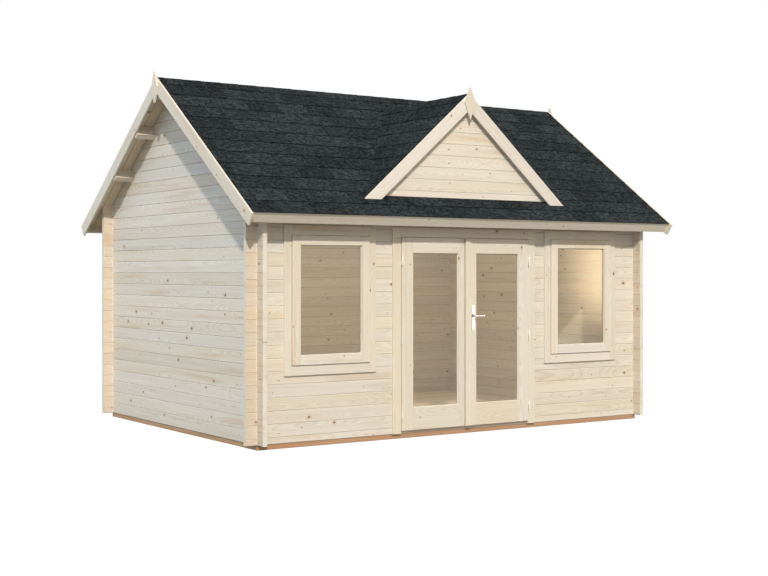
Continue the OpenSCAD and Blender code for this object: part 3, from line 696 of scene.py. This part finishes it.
low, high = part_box("floor_boards")
pitch_y = (high.y - low.y) / FLOOR_ROWS
shape = board_shape(high.x - low.x, pitch_y, high.z - low.z, FLOOR_JOINT)
mesh = lay("floor_boards_laid", shape, timber_of_slot["floor_boards"], seed=3, rows=FLOOR_ROWS, row_pitch=pitch_y)
mesh.transform(Matrix.Translation((low + high) / 2))
show(mesh, "root", "floor_boards", timber_of_slot["floor_boards"], "floor_boards")
print("floor boards:", FLOOR_ROWS, "faces:", len(mesh.polygons))

# %% [markdown]
# The roof is tongued boards that run from the ridge to the eaves, with a small open joint towards the room, and they
# show under the eaves too. They are laid flat beside each other, tipped to the slope and sawn upright at the ridge.

# %% Roof boards
ROOF_PITCH = math.radians(35.3)
ROOF_BOARDS = 51
ROOF_BOARD_T = 0.019
ROOF_JOINT = 0.004
BOARD_TOP = 0.005
PAST_RIDGE = 0.05


def slope(turn, pitch, ridge_point):
    return Matrix.Translation(ridge_point) @ Matrix.Rotation(turn, 4, "Z") @ Matrix.Rotation(pitch, 4, "X")


low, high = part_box("front_roof_boards")
roof_low, roof_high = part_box("front_shingles")
ridge = Vector((0, 0, roof_high.z))
board_end = (-low.y + BOARD_TOP * math.sin(ROOF_PITCH)) / math.cos(ROOF_PITCH)
board_l = board_end + PAST_RIDGE
pitch_x = (high.x - low.x) / ROOF_BOARDS
for side, turn in (("front", 0.0), ("back", math.pi)):
    shape = board_shape(board_l, pitch_x, ROOF_BOARD_T, ROOF_JOINT)
    shape.transform(Matrix.Rotation(math.pi / 2, 4, "Z") @ Matrix.Rotation(math.pi, 4, "X"))
    mesh = lay(side + "_roof_boards_laid", shape, timber_of_slot["roof_timber"], seed=5, columns=ROOF_BOARDS,
               column_pitch=pitch_x)
    mesh.transform(Matrix.Translation((0, board_l / 2 - board_end, -BOARD_TOP - ROOF_BOARD_T / 2)))
    mesh.transform(slope(turn, ROOF_PITCH, ridge))
    saw(mesh, (Vector(), BACK * math.cos(turn)))
    show(mesh, "root", "roof_timber", timber_of_slot["roof_timber"], side + "_roof_boards")
    print(side, "roof boards:", ROOF_BOARDS, "faces:", len(mesh.polygons))

# %% [markdown]
# ## Dormer cladding
# The little gable is clad with level boards of the same height as the logs. They are laid as rows and then sawn to
# the two slopes and to the roof that they stand on.

# %% Dormer cladding
LOG_H = 0.114
CLADDING_ROWS = 9
CLADDING_FIRST_JOINT = 2.293
CLADDING_JOINT = 0.0028
CLADDING_OVERRUN = 0.2
DORMER_PITCH = math.radians(41.2)

low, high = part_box("dormer_cladding")
shape = board_shape(2 * high.x + CLADDING_OVERRUN, LOG_H, high.y - low.y, CLADDING_JOINT)
mesh = lay("dormer_cladding_laid", shape, timber_of_slot["planed_joinery"], seed=8, rows=CLADDING_ROWS,
           row_pitch=LOG_H)
mesh.transform(Matrix.Rotation(math.pi / 2, 4, "X"))
middle_z = CLADDING_FIRST_JOINT - LOG_H / 2 + LOG_H * (CLADDING_ROWS - 1) / 2
mesh.transform(Matrix.Translation((0, (low.y + high.y) / 2, middle_z)))
peak = Vector((0, 0, high.z))
outward = Vector((math.sin(DORMER_PITCH), 0, math.cos(DORMER_PITCH)))
saw(mesh, (peak, outward), (peak, outward * Vector((-1, 1, 1))), (Vector((0, 0, low.z)), -UP))
show(mesh, "root", "planed_joinery", timber_of_slot["planed_joinery"], "dormer_cladding")
print("cladding boards:", CLADDING_ROWS)

# %% [markdown]
# ## Gable ornaments
# A kite of planed board covers the joint of the bargeboards on each peak. It is sawn with straight sides to a point
# at the top and at the foot, so it is drawn as an outline and given the thickness of the board.

# %% Kites on the three peaks
KITE_UP = 0.055
KITE_DOWN = 0.247
KITE_SHOULDER = 0.090
KITE_HALF_W = 0.064
KITE_TIP = 0.003
KITE_T = 0.018
KITE_ARRIS = 0.0015


def kite(placing):
    outline = [(KITE_TIP, KITE_UP), (KITE_HALF_W, -KITE_SHOULDER), (KITE_TIP, -KITE_DOWN)]
    solid = drawn(outline + [(-y, z) for y, z in reversed(outline)], KITE_T)
    solid.transform(placing)
    return solid


def show_kites(node, placings):
    mesh = timber_mesh(node + "_timber", [kite(placing) for placing in placings], "Z", KITE_ARRIS)
    show(mesh, "root", "planed_joinery", timber_of_slot["planed_joinery"], node)
    print(node, "faces:", len(mesh.polygons))


low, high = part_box("gable_ornaments")
ends = (low.x + KITE_T / 2, high.x - KITE_T / 2)
show_kites("gable_ornaments", [Matrix.Translation((end, 0, high.z - KITE_UP)) for end in ends])
low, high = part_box("dormer_ornament")
to_front = Matrix.Rotation(math.pi / 2, 4, "Z")
show_kites("dormer_ornament", [Matrix.Translation((0, (low.y + high.y) / 2, high.z - KITE_UP)) @ to_front])

# %% [markdown]
# ## Bitumen shingles
# Shingles are felt soaked in bitumen and rolled in crushed slate, cut into strips of tabs. The grit makes them matt
# and speckled, and each tab is a little lighter or darker than the next. Along the lower edge of each tab a dark band
# is painted: partly the black bitumen of the cut edge, partly painted shadow for the line of shade under each row.

# %% Shingle finish
# The grit is about a millimetre. It is drawn as 11 mm flecks, because finer ones would not show.
FLECK = 0.011
FLECK_SHARE = 0.38
# Worn and dusty patches are 30 to 45 mm wide.
MOTTLE_PER_M = (22, 34, 34)
TAB_TONE = (0.70, 1.28)
# Where the dark band along a tab's lower edge is full and where it is gone, in metres up the tab, and how dark it gets.
# The band is partly the bitumen edge and partly painted shadow.
EDGE_FULL = 0.004
EDGE_GONE = 0.013
EDGE_SHADOW_AND_BITUMEN_SHARE = 0.52


def finish_nodes(slot, material):
    dressed = [node for node in slot_of if slot_of[node] == slot]
    for node in dressed:
        nodes[node].data.materials.clear()
        nodes[node].data.materials.append(material)
    return dressed


shingle, tree = new_material("slate_grit_bitumen_shingle")
spot = add(tree, "TexCoord").outputs["Object"]
number = add(tree, "Attribute", attribute_name="board").outputs["Fac"]
tab = add(tree, "Attribute", attribute_name="tab").outputs["Vector"]
up_tab = add(tree, "SeparateXYZ", {0: tab}).outputs[1]
fleck = add(tree, "TexVoronoi", {"Vector": spot, "Scale": 1 / FLECK, "Randomness": 1.0})
fleck = add(tree, "SeparateColor", {0: fleck.outputs["Color"]})
own = add(tree, "CombineXYZ", {0: number, 1: number, 2: number})
strewn = add(tree, "VectorMath", {0: tab, 1: MOTTLE_PER_M, 2: own}, operation="MULTIPLY_ADD")
cloud = add(tree, "TexNoise", {"Vector": strewn, "Scale": 1.0, "Detail": 4.0, "Roughness": 0.7})
cloud = add(tree, "MapRange", {0: cloud, 1: 0.32, 2: 0.68, 4: 1 - FLECK_SHARE})
speckle = add(tree, "Math", {0: fleck, 1: FLECK_SHARE, 2: cloud}, operation="MULTIPLY_ADD")
speckle = add(tree, "Math", {0: speckle, 1: 1.6}, operation="POWER")
colour = add(tree, "Mix", {0: speckle, 6: linear("#0F1214"), 7: linear("#4B5255")}, data_type="RGBA")
dice = add(tree, "TexWhiteNoise", {"W": number}, noise_dimensions="1D")
tone = add(tree, "MapRange", {0: dice, 3: TAB_TONE[0], 4: TAB_TONE[1]})
colour = add(tree, "HueSaturation", {"Value": tone, "Color": colour})
# Painted shadow and black bitumen: the band darkens each tab and cap towards black along its lower edge.
edge = add(tree, "MapRange", {0: up_tab, 1: EDGE_FULL, 2: EDGE_GONE, 3: EDGE_SHADOW_AND_BITUMEN_SHARE, 4: 0.0},
           interpolation_type="SMOOTHSTEP")
colour = add(tree, "Mix", {0: edge, 6: colour, 7: linear("#050607")}, data_type="RGBA")
bump = add(tree, "Bump", {"Height": fleck, "Distance": 0.0006, "Strength": 0.6})
grit = add(tree, "BsdfPrincipled", {"Base Color": colour, "Roughness": 0.9, "IOR": 1.5, "Specular IOR Level": 0.015,
                                    "Normal": bump})
add(tree, "OutputMaterial", {"Surface": grit})
print("felt on nodes:", finish_nodes("bitumen_shingle", shingle))

# %% [markdown]
# Each tab is a thin wedge: its upper end slips under the row above and its lower edge lies on the row below. The tabs
# lie on the roof's sheet of felt, which shows dark in the slots between them.

# %% One tab
TAB_W = 1 / 3
TAB_SLOT = 0.004
COURSE = 0.2035
TAB_L = COURSE + 0.010
EDGE_T = 0.0036
LIFT = 0.0008
TOP_LIFT = 0.0001
TOP_T = 0.0005


def to_mesh(name, solid):
    mesh = bpy.data.meshes.new(name)
    solid.to_mesh(mesh)
    solid.free()
    return mesh


def skinned(rings):
    solid = bmesh.new()
    loops = [[solid.verts.new(point) for point in ring] for ring in rings]
    solid.faces.new(loops[0])
    solid.faces.new(loops[-1][::-1])
    for low, high in zip(loops, loops[1:]):
        for i in range(len(low)):
            solid.faces.new((low[i], high[i], high[i - 1], low[i - 1]))
    bmesh.ops.recalc_face_normals(solid, faces=solid.faces)
    return solid


def mark_tab(mesh, places):
    values = [c for place in places for c in place]
    mesh.attributes.new("tab", "FLOAT_VECTOR", "POINT").data.foreach_set("vector", values)
    return mesh


def tab_shape():
    w = (TAB_W - TAB_SLOT) / 2
    rings = [((-w, y, lift), (w, y, lift), (w, y, lift + thick), (-w, y, lift + thick))
             for y, lift, thick in ((0, LIFT, EDGE_T), (TAB_L, TOP_LIFT, TOP_T))]
    mesh = to_mesh("tab_shape", skinned(rings))
    return mark_tab(mesh, [v.co for v in mesh.vertices])


print("tab width and length:", round(TAB_W - TAB_SLOT, 4), TAB_L)

# %% [markdown]
# The rows of tabs go up each slope, every other row slid by half a tab, so that no slot lies over another. Each field
# is sawn at the gable ends and at the eave. On the dormer it is sawn where it meets the big slope.

# %% Tabs on the four slopes
FIRST_EDGE = 0.12
TAB_PLAY = 0.0012
PAST_EAVE = 0.004
OFF_BIG_SLOPE = 0.0003


def shingle_slope(name, turn, pitch, top, width, length, past_end, seed, *cuts):
    placing = slope(turn, pitch, top)
    down = (placing.to_3x3() @ -BACK).normalized()
    count = math.ceil((length - FIRST_EDGE) / COURSE)
    columns = math.ceil(width / TAB_W) + 2
    mesh = lay(name, tab_shape(), shingle, seed, columns, count, TAB_W, COURSE, TAB_W / 2, TAB_PLAY)
    mesh.transform(Matrix.Translation((0, -FIRST_EDGE - COURSE * (count + 1) / 2, 0)))
    mesh.transform(placing)
    saw(mesh, *cuts, (top + down * (length + past_end), down))
    show(mesh, "root", "bitumen_shingle", shingle)
    print(name, "faces:", len(mesh.polygons))


slope_l = -roof_low.y / math.cos(ROOF_PITCH)
gable_ends = ((roof_high, RIGHT), (roof_low, -RIGHT))
for side, turn, seed in (("front", 0.0, 26), ("back", math.pi, 25)):
    shingle_slope(side + "_shingle_tabs", turn, ROOF_PITCH, ridge, roof_high.x - roof_low.x, slope_l, PAST_EAVE, seed,
                  *gable_ends)

big_slope = (slope(0.0, ROOF_PITCH, ridge).to_3x3() @ UP).normalized()
dormer_low, dormer_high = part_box("dormer_shingles")
dormer_ridge = Vector((0, (dormer_low.y + dormer_high.y) / 2, dormer_high.z))
dormer_l = dormer_high.x / math.cos(DORMER_PITCH)
dormer_run = dormer_high.y - dormer_low.y
dormer_ends = ((dormer_low, -BACK), (ridge + big_slope * OFF_BIG_SLOPE, -big_slope))
for side, turn, seed in (("left", -math.pi / 2, 35), ("right", math.pi / 2, 36)):
    shingle_slope("dormer_" + side + "_shingle_tabs", turn, DORMER_PITCH, dormer_ridge, dormer_run, dormer_l, 0.0, seed,
                  *dormer_ends)

# %% [markdown]
# ## Ridge caps
# Caps bent over the ridge cover the top edges of both slopes. Each laps the next, so every cap is a little raised at
# its open end.

# %% Ridge caps
CAP_REACH = 0.118
CAP_PITCH = 0.20
CAP_L = 0.225
CAP_T = 0.003
CAP_LIFT = 0.0016
CAP_RISE = 0.0034


def cap_line(pitch, off):
    c, s = math.cos(pitch), math.sin(pitch)
    bend = [(-math.sin(a) * off, math.cos(a) * off) for a in (pitch, pitch / 2, 0, -pitch / 2, -pitch)]
    first = (-c * CAP_REACH - s * off, -s * CAP_REACH + c * off)
    return [first] + bend + [(-first[0], first[1])]


def cap_shape(pitch):
    solid = drawn(cap_line(pitch, CAP_LIFT + CAP_T) + cap_line(pitch, CAP_LIFT)[::-1], CAP_L)
    for v in solid.verts:
        v.co.z += CAP_RISE * (v.co.x / CAP_L + 0.5)
    mesh = to_mesh("cap_shape", solid)
    return mark_tab(mesh, [(v.co.y, CAP_L / 2 - v.co.x, v.co.z) for v in mesh.vertices])


def cap_row(name, pitch, length, placing, seed, cuts, *stands_for):
    count = math.ceil(length / CAP_PITCH) + 1
    mesh = lay(name, cap_shape(pitch), shingle, seed, columns=count, column_pitch=CAP_PITCH)
    mesh.transform(placing)
    show(saw(mesh, *cuts), "root", "bitumen_shingle", shingle, *stands_for)
    print(name, "faces:", len(mesh.polygons))


cap_row("ridge_caps", ROOF_PITCH, 2 * roof_high.x, Matrix.Translation(ridge), 41, gable_ends, "ridge_shingles")
to_front = Matrix.Translation(dormer_ridge) @ Matrix.Rotation(-math.pi / 2, 4, "Z")
cap_row("dormer_ridge_caps", DORMER_PITCH, dormer_run, to_front, 43, dormer_ends)

# %% [markdown]
# ## Glass
# The panes are clear float glass. It is nearly colourless, mirrors a few hundredths of the light and lets the rest
# through. For lamp rays and for light that a surface has scattered it is taken as plainly transparent, so that the
# room behind it is lit evenly.

# %% Panes
glass, tree = new_material("clear_float_glass")
path = add(tree, "LightPath").outputs
pane = add(tree, "BsdfPrincipled", {"Base Color": linear("#F1F4F0"), "Roughness": 0.0, "IOR": 1.5,
                                    "Transmission Weight": 1.0})
clear = add(tree, "BsdfTransparent", {"Color": linear("#EAE8E2")})
for ray in ("Is Diffuse Ray", "Is Shadow Ray"):
    pane = add(tree, "MixShader", {0: path[ray], 1: pane, 2: clear})
add(tree, "OutputMaterial", {"Surface": pane})
print("panes on nodes:", finish_nodes("glass", glass))

# %% [markdown]
# ## Glazing beads
# A pane is held by small wooden beads, nailed round its edge on both sides and mitred at the corners. Each bead is a
# short moulding between two mitres, so it is drawn from its section at both ends.

# %% Beads round the four panes
BEAD_W = 0.007
BEAD_D = 0.010
BEAD_GAP = 0.0002
BEAD_SECTION = ((BEAD_GAP, BEAD_GAP), (BEAD_W, BEAD_GAP), (BEAD_W, 0.4 * BEAD_D), (0.7 * BEAD_W, 0.8 * BEAD_D),
                (0.3 * BEAD_W, BEAD_D), (BEAD_GAP, BEAD_D))


def beads_round(low, high, glass_y, outward):
    corners = ((low.x, low.z, 1, 1), (high.x, low.z, -1, 1), (high.x, high.z, -1, -1), (low.x, high.z, 1, -1))
    for k in range(4):
        solid = bmesh.new()
        ends = []
        for x, z, right, up in (corners[k], corners[k - 1]):
            ends.append([solid.verts.new((x + right * inset, glass_y + outward * depth, z + up * inset))
                         for inset, depth in BEAD_SECTION])
        solid.faces.new(ends[0])
        solid.faces.new(ends[1][::-1])
        for i in range(len(BEAD_SECTION)):
            solid.faces.new((ends[0][i - 1], ends[1][i - 1], ends[1][i], ends[0][i]))
        bmesh.ops.recalc_face_normals(solid, faces=solid.faces)
        yield solid


for node in ("left_leaf_glass", "right_leaf_glass", "window_glass"):
    solids = []
    for pane in solids_of(nodes[node].data):
        low = Vector(min(v.co[i] for v in pane.verts) for i in range(3))
        high = Vector(max(v.co[i] for v in pane.verts) for i in range(3))
        pane.free()
        for glass_y, outward in ((low.y, -1), (high.y, 1)):
            solids += beads_round(low, high, glass_y, outward)
    mesh = timber_mesh(node.replace("glass", "beads"), solids)
    show(mesh, body_of[node], "planed_joinery", timber_of_slot["planed_joinery"])
    print(mesh.name, "pieces:", len(solids))

# %% [markdown]
# ## Zinc, aluminium and steel
# The hinges and the screws are zinc-plated steel, which is grey-white with a faint cloud. The handle is satin
# aluminium: bright, with highlights spread by fine brushing. The rings that guide the lever are steel made nearly
# black, which partly paints the shade round the lever's neck. All are plain metals to the shader, and only their colour
# and their roughness vary.

# %% Metal finishes
# Clouds are 17 mm wide on the zinc and 11 mm on the steel. On the aluminium they are squeezed to the lines of the
# brushing. Real ones are a tenth of a millimetre apart, and are drawn 1 mm apart, because finer ones would not show.
BRUSHING = (36, 36, 1)
PLAIN = (1, 1, 1)


def metal_material(name, dull, bright, squeeze, clouds_per_m, smooth, rough):
    material, tree = new_material(name)
    spot = add(tree, "TexCoord").outputs["Object"]
    spot = add(tree, "VectorMath", {0: spot, 1: squeeze}, operation="MULTIPLY")
    cloud = add(tree, "TexNoise", {"Vector": spot, "Scale": clouds_per_m, "Detail": 3.0})
    colour = add(tree, "Mix", {0: cloud, 6: linear(dull), 7: linear(bright)}, data_type="RGBA")
    gloss = add(tree, "MapRange", {0: cloud, 3: smooth, 4: rough})
    metal = add(tree, "BsdfPrincipled", {"Base Color": colour, "Roughness": gloss, "Metallic": 1.0})
    add(tree, "OutputMaterial", {"Surface": metal})
    return material


zinc = metal_material("zinc_plated_steel", "#DAD7CF", "#F2EFE6", PLAIN, 60.0, 0.30, 0.52)
satin = metal_material("satin_brushed_aluminium", "#E2E1DC", "#F6F4EE", BRUSHING, 25.0, 0.26, 0.40)
# Nearly black steel for the guide rings: their darkness is partly painted shade round the neck of the lever.
neck_shade_steel = metal_material("burnished_steel", "#2B2926", "#45423D", PLAIN, 90.0, 0.34, 0.50)
print("metals:", zinc.name, satin.name, neck_shade_steel.name)

# %% [markdown]
# ## Turned parts
# Barrels, rings and screw heads come off a lathe, so each is made as a profile turned about its axis. The parts of one
# piece are then put in place and joined to one mesh, smooth but for its sharp edges.

# %% Lathe and joining
SMOOTH_UP_TO = math.radians(35)
SEAM = 1e-6


def turned(profile, sides=20):
    solid = bmesh.new()
    turns = [2 * math.pi * i / sides for i in range(sides)]
    rings = [[solid.verts.new((r * math.cos(a), r * math.sin(a), z)) for a in (turns if r else [0.0])]
             for r, z in profile]
    for low, high in zip(rings, rings[1:]):
        for i in range(sides):
            j = (i + 1) % sides
            around = (low[i % len(low)], low[j % len(low)], high[j % len(high)], high[i % len(high)])
            solid.faces.new(list(dict.fromkeys(around)))
    return solid


def joined(name, placed):
    whole = bmesh.new()
    for solid, placing in placed:
        part = to_mesh("part", solid)
        part.transform(placing)
        whole.from_mesh(part)
        bpy.data.meshes.remove(part)
    bmesh.ops.remove_doubles(whole, verts=whole.verts, dist=SEAM)
    bmesh.ops.recalc_face_normals(whole, faces=whole.faces)
    for face in whole.faces:
        face.smooth = True
    mesh = to_mesh(name, whole)
    mesh.set_sharp_from_angle(angle=SMOOTH_UP_TO)
    return mesh


print("edges sharper than this stay sharp, in degrees:", round(math.degrees(SMOOTH_UP_TO)))

# %% [markdown]
# ## Hinges
# Each leaf hangs on three barrel hinges: the lower half sits on the frame and carries the pin, the upper half sits on
# the leaf. A foot behind each half holds it to the wood.

# %% Hinges of the two leaves
HINGE_X = 0.7575
HINGE_Y = -1.663
HINGE_R = 0.007
HINGE_HALF = 0.045
HINGE_GAP = 0.0005
HINGE_DOME = 0.004
HINGE_SHARES = (0.085, 0.474, 0.88)
TO_LEAF = 0.009
TO_FRAME = 0.023
FOOT_W = 0.0062
FOOT_SHORTER = 0.003
FLANGE_W = 0.011
FLANGE_T = 0.0025


def hinge_half(axis, side, reach, upward):
    r, h = HINGE_R, HINGE_HALF
    barrel = turned([(0, HINGE_GAP), (0.92 * r, HINGE_GAP), (r, HINGE_GAP + 0.0006), (r, h - HINGE_DOME),
                     (0.85 * r, h - 0.35 * HINGE_DOME), (0.5 * r, h), (0, h)])
    flange = reach - FLANGE_T
    foot = drawn([(0, 0), (FOOT_W, 0), (FOOT_W, flange), (FLANGE_W, flange), (FLANGE_W, reach), (0, reach)],
                 h - FOOT_SHORTER)
    stand = Matrix(((0, side, 0, 0), (0, 0, 1, 0), (1, 0, 0, 0.5 * h * upward), (0, 0, 0, 1)))
    return [(barrel, axis @ Matrix.Scale(upward, 4, UP)), (foot, axis @ stand)]


on_frame = []
for side, leaf in ((-1, "left"), (1, "right")):
    low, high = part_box(leaf + "_leaf_frame")
    on_leaf = []
    for share in HINGE_SHARES:
        axis = Matrix.Translation((side * HINGE_X, HINGE_Y, low.z + share * (high.z - low.z)))
        on_frame += hinge_half(axis, side, TO_FRAME, -1)
        on_leaf += hinge_half(axis, -side, TO_LEAF, 1)
    mesh = joined(leaf + "_leaf_hinge_barrels", on_leaf)
    show(mesh, leaf + "_door", "zinc_steel", zinc, leaf + "_leaf_hinges")
mesh = joined("frame_hinge_barrels", on_frame)
show(mesh, "root", "zinc_steel", zinc, "frame_hinges")
print("frame hinge faces:", len(mesh.polygons))

# %% [markdown]
# ## Handle
# A long plate with round ends stands on each side of the right leaf. It is a casting, so its edge is soft. The levers
# turn together on one spindle: a round neck comes out of a dark ring, bends and runs out as the grip, which thins a
# little towards its end. A round section moved along a bent line, with a radius of its own at each station, gives
# that form.

# %% Plate and grip
PLATE_R = 0.020
PLATE_T = 0.007
# The soft edge: share of the thickness, and how far the outline has drawn in there.
PLATE_EDGE = ((0, 0), (0.55, 0), (0.86, 0.0014), (1, 0.0050))
# Stations of the grip: along it, out from the plate, and the radius there.
GRIP = ((0.0, 0.0008, 0.0098), (0.0, 0.010, 0.0090), (0.0, 0.030, 0.0080), (0.0028, 0.0405, 0.0080),
        (0.0105, 0.0466, 0.0082), (0.022, 0.0480, 0.0084), (0.060, 0.0478, 0.0084), (0.095, 0.0466, 0.0080),
        (0.105, 0.0461, 0.0066), (0.1098, 0.0459, 0.0034))
plate_low, plate_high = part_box("handle_plates")


def plate_shape(sides=32):
    half = (plate_high.z - plate_low.z) / 2 - PLATE_R
    turns = [2 * math.pi * (i + 0.5) / sides for i in range(sides)]
    rings = []
    for share, drawn_in in PLATE_EDGE:
        r = PLATE_R - drawn_in
        rings.append([(r * math.cos(a), -share * PLATE_T, r * math.sin(a) + math.copysign(half, math.sin(a)))
                      for a in turns])
    return skinned(rings)


def swept(stations, sides=16):
    turns = [2 * math.pi * i / sides for i in range(sides)]
    rings = []
    for k, (x, out, r) in enumerate(stations):
        before, after = stations[max(k - 1, 0)], stations[min(k + 1, len(stations) - 1)]
        ahead = Vector((after[0] - before[0], before[1] - after[1], 0)).normalized()
        beside = Vector((-ahead.y, ahead.x, 0))
        rings.append([Vector((x, -out, 0)) + r * (math.cos(a) * beside + math.sin(a) * UP) for a in turns])
    return skinned(rings)


print("plate height:", round(plate_high.z - plate_low.z, 3), "grip reach:", GRIP[-1][0])

# %% [markdown]
# Plate, ring and grip are made for the outside, and once more for the room, mirrored in the middle of the leaf. Plates
# and rings ride on the leaf, and the two grips on the lever.

# %% Plates, rings and levers on both faces
SPINDLE_X = 0.064
SPINDLE_Z = 1.12
# Profile of the guide ring: radius, and height over the plate.
GUIDE_RING = ((0.0104, 0), (0.0155, 0), (0.0155, 0.0016), (0.0145, 0.003), (0.0115, 0.003), (0.0104, 0.002),
              (0.0104, 0))
leaf_low, leaf_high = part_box("right_leaf_frame")
OTHER_FACE = Matrix.Translation((0, leaf_low.y + leaf_high.y, 0)) @ Matrix.Scale(-1, 4, BACK)
FACING_OUT = Matrix.Rotation(math.pi / 2, 4, "X")

plates, rings, levers = [], [], []
for face in (Matrix.Identity(4), OTHER_FACE):
    on_leaf = face @ Matrix.Translation((SPINDLE_X, leaf_low.y, (plate_low.z + plate_high.z) / 2))
    spindle = face @ Matrix.Translation((SPINDLE_X, leaf_low.y - PLATE_T, SPINDLE_Z))
    plates.append((plate_shape(), on_leaf))
    rings.append((turned(GUIDE_RING, 24), spindle @ FACING_OUT))
    levers.append((swept(GRIP), spindle))
show(joined("handle_plates_cast", plates), "right_door", "satin_aluminium", satin, "handle_plates")
# The guide rings are nearly black, which partly paints the shade round the lever's neck.
show(joined("lever_guide_rings", rings), "right_door", "zinc_steel", neck_shade_steel)
show(joined("lever_grips", levers), "lever", "satin_aluminium", satin, "lever_handle")
print("levers at z:", SPINDLE_Z)

# %% [markdown]
# ## Screws
# Casings, fascias and handle plates are held by screws with low round heads. A row of heads is the same rule as a row
# of boards, so the same tree lays them, with the head as its shape, and the row is then turned to face outward.

# %% Screw heads in rows
SCREW_R = 0.0038
SCREW = ((0, -0.0015), (SCREW_R, -0.0015), (SCREW_R, 0.0002), (0.7 * SCREW_R, 0.0008), (0, 0.0010))
SCREW_PLAY = 0.0015
SCREW_SEED = 51
CASING_INSET = (0.044, 0.12)
FASCIA_INSET = 0.10
PLATE_INSET = 0.016


def screw_rows(name, body, x0, x1, columns, z0, z1, count, y):
    head = joined("screw_shape", [(turned(SCREW, 10), Matrix.Identity(4))])
    mesh = lay(name, head, zinc, SCREW_SEED + count, columns, count, (x1 - x0) / max(columns - 1, 1),
               (z1 - z0) / max(count - 1, 1), play=SCREW_PLAY)
    mesh.transform(Matrix.Translation(((x0 + x1) / 2, y, (z0 + z1) / 2)) @ FACING_OUT)
    show(mesh, body, "zinc_steel", zinc)
    print(name, "faces:", len(mesh.polygons))


low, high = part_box("door_side_casings")
in_x, in_z = CASING_INSET
screw_rows("door_casing_screws", "root", low.x + in_x, high.x - in_x, 2, low.z + in_z, high.z - in_z, 5, low.y)
low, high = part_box("eave_fascias")
middle_z = (low.z + high.z) / 2
screw_rows("front_fascia_screws", "root", low.x + FASCIA_INSET, high.x - FASCIA_INSET, 9, middle_z, middle_z, 1, low.y)
screw_rows("handle_plate_screws", "right_door", SPINDLE_X, SPINDLE_X, 1, plate_low.z + PLATE_INSET,
           plate_high.z - PLATE_INSET, 2, plate_low.y)
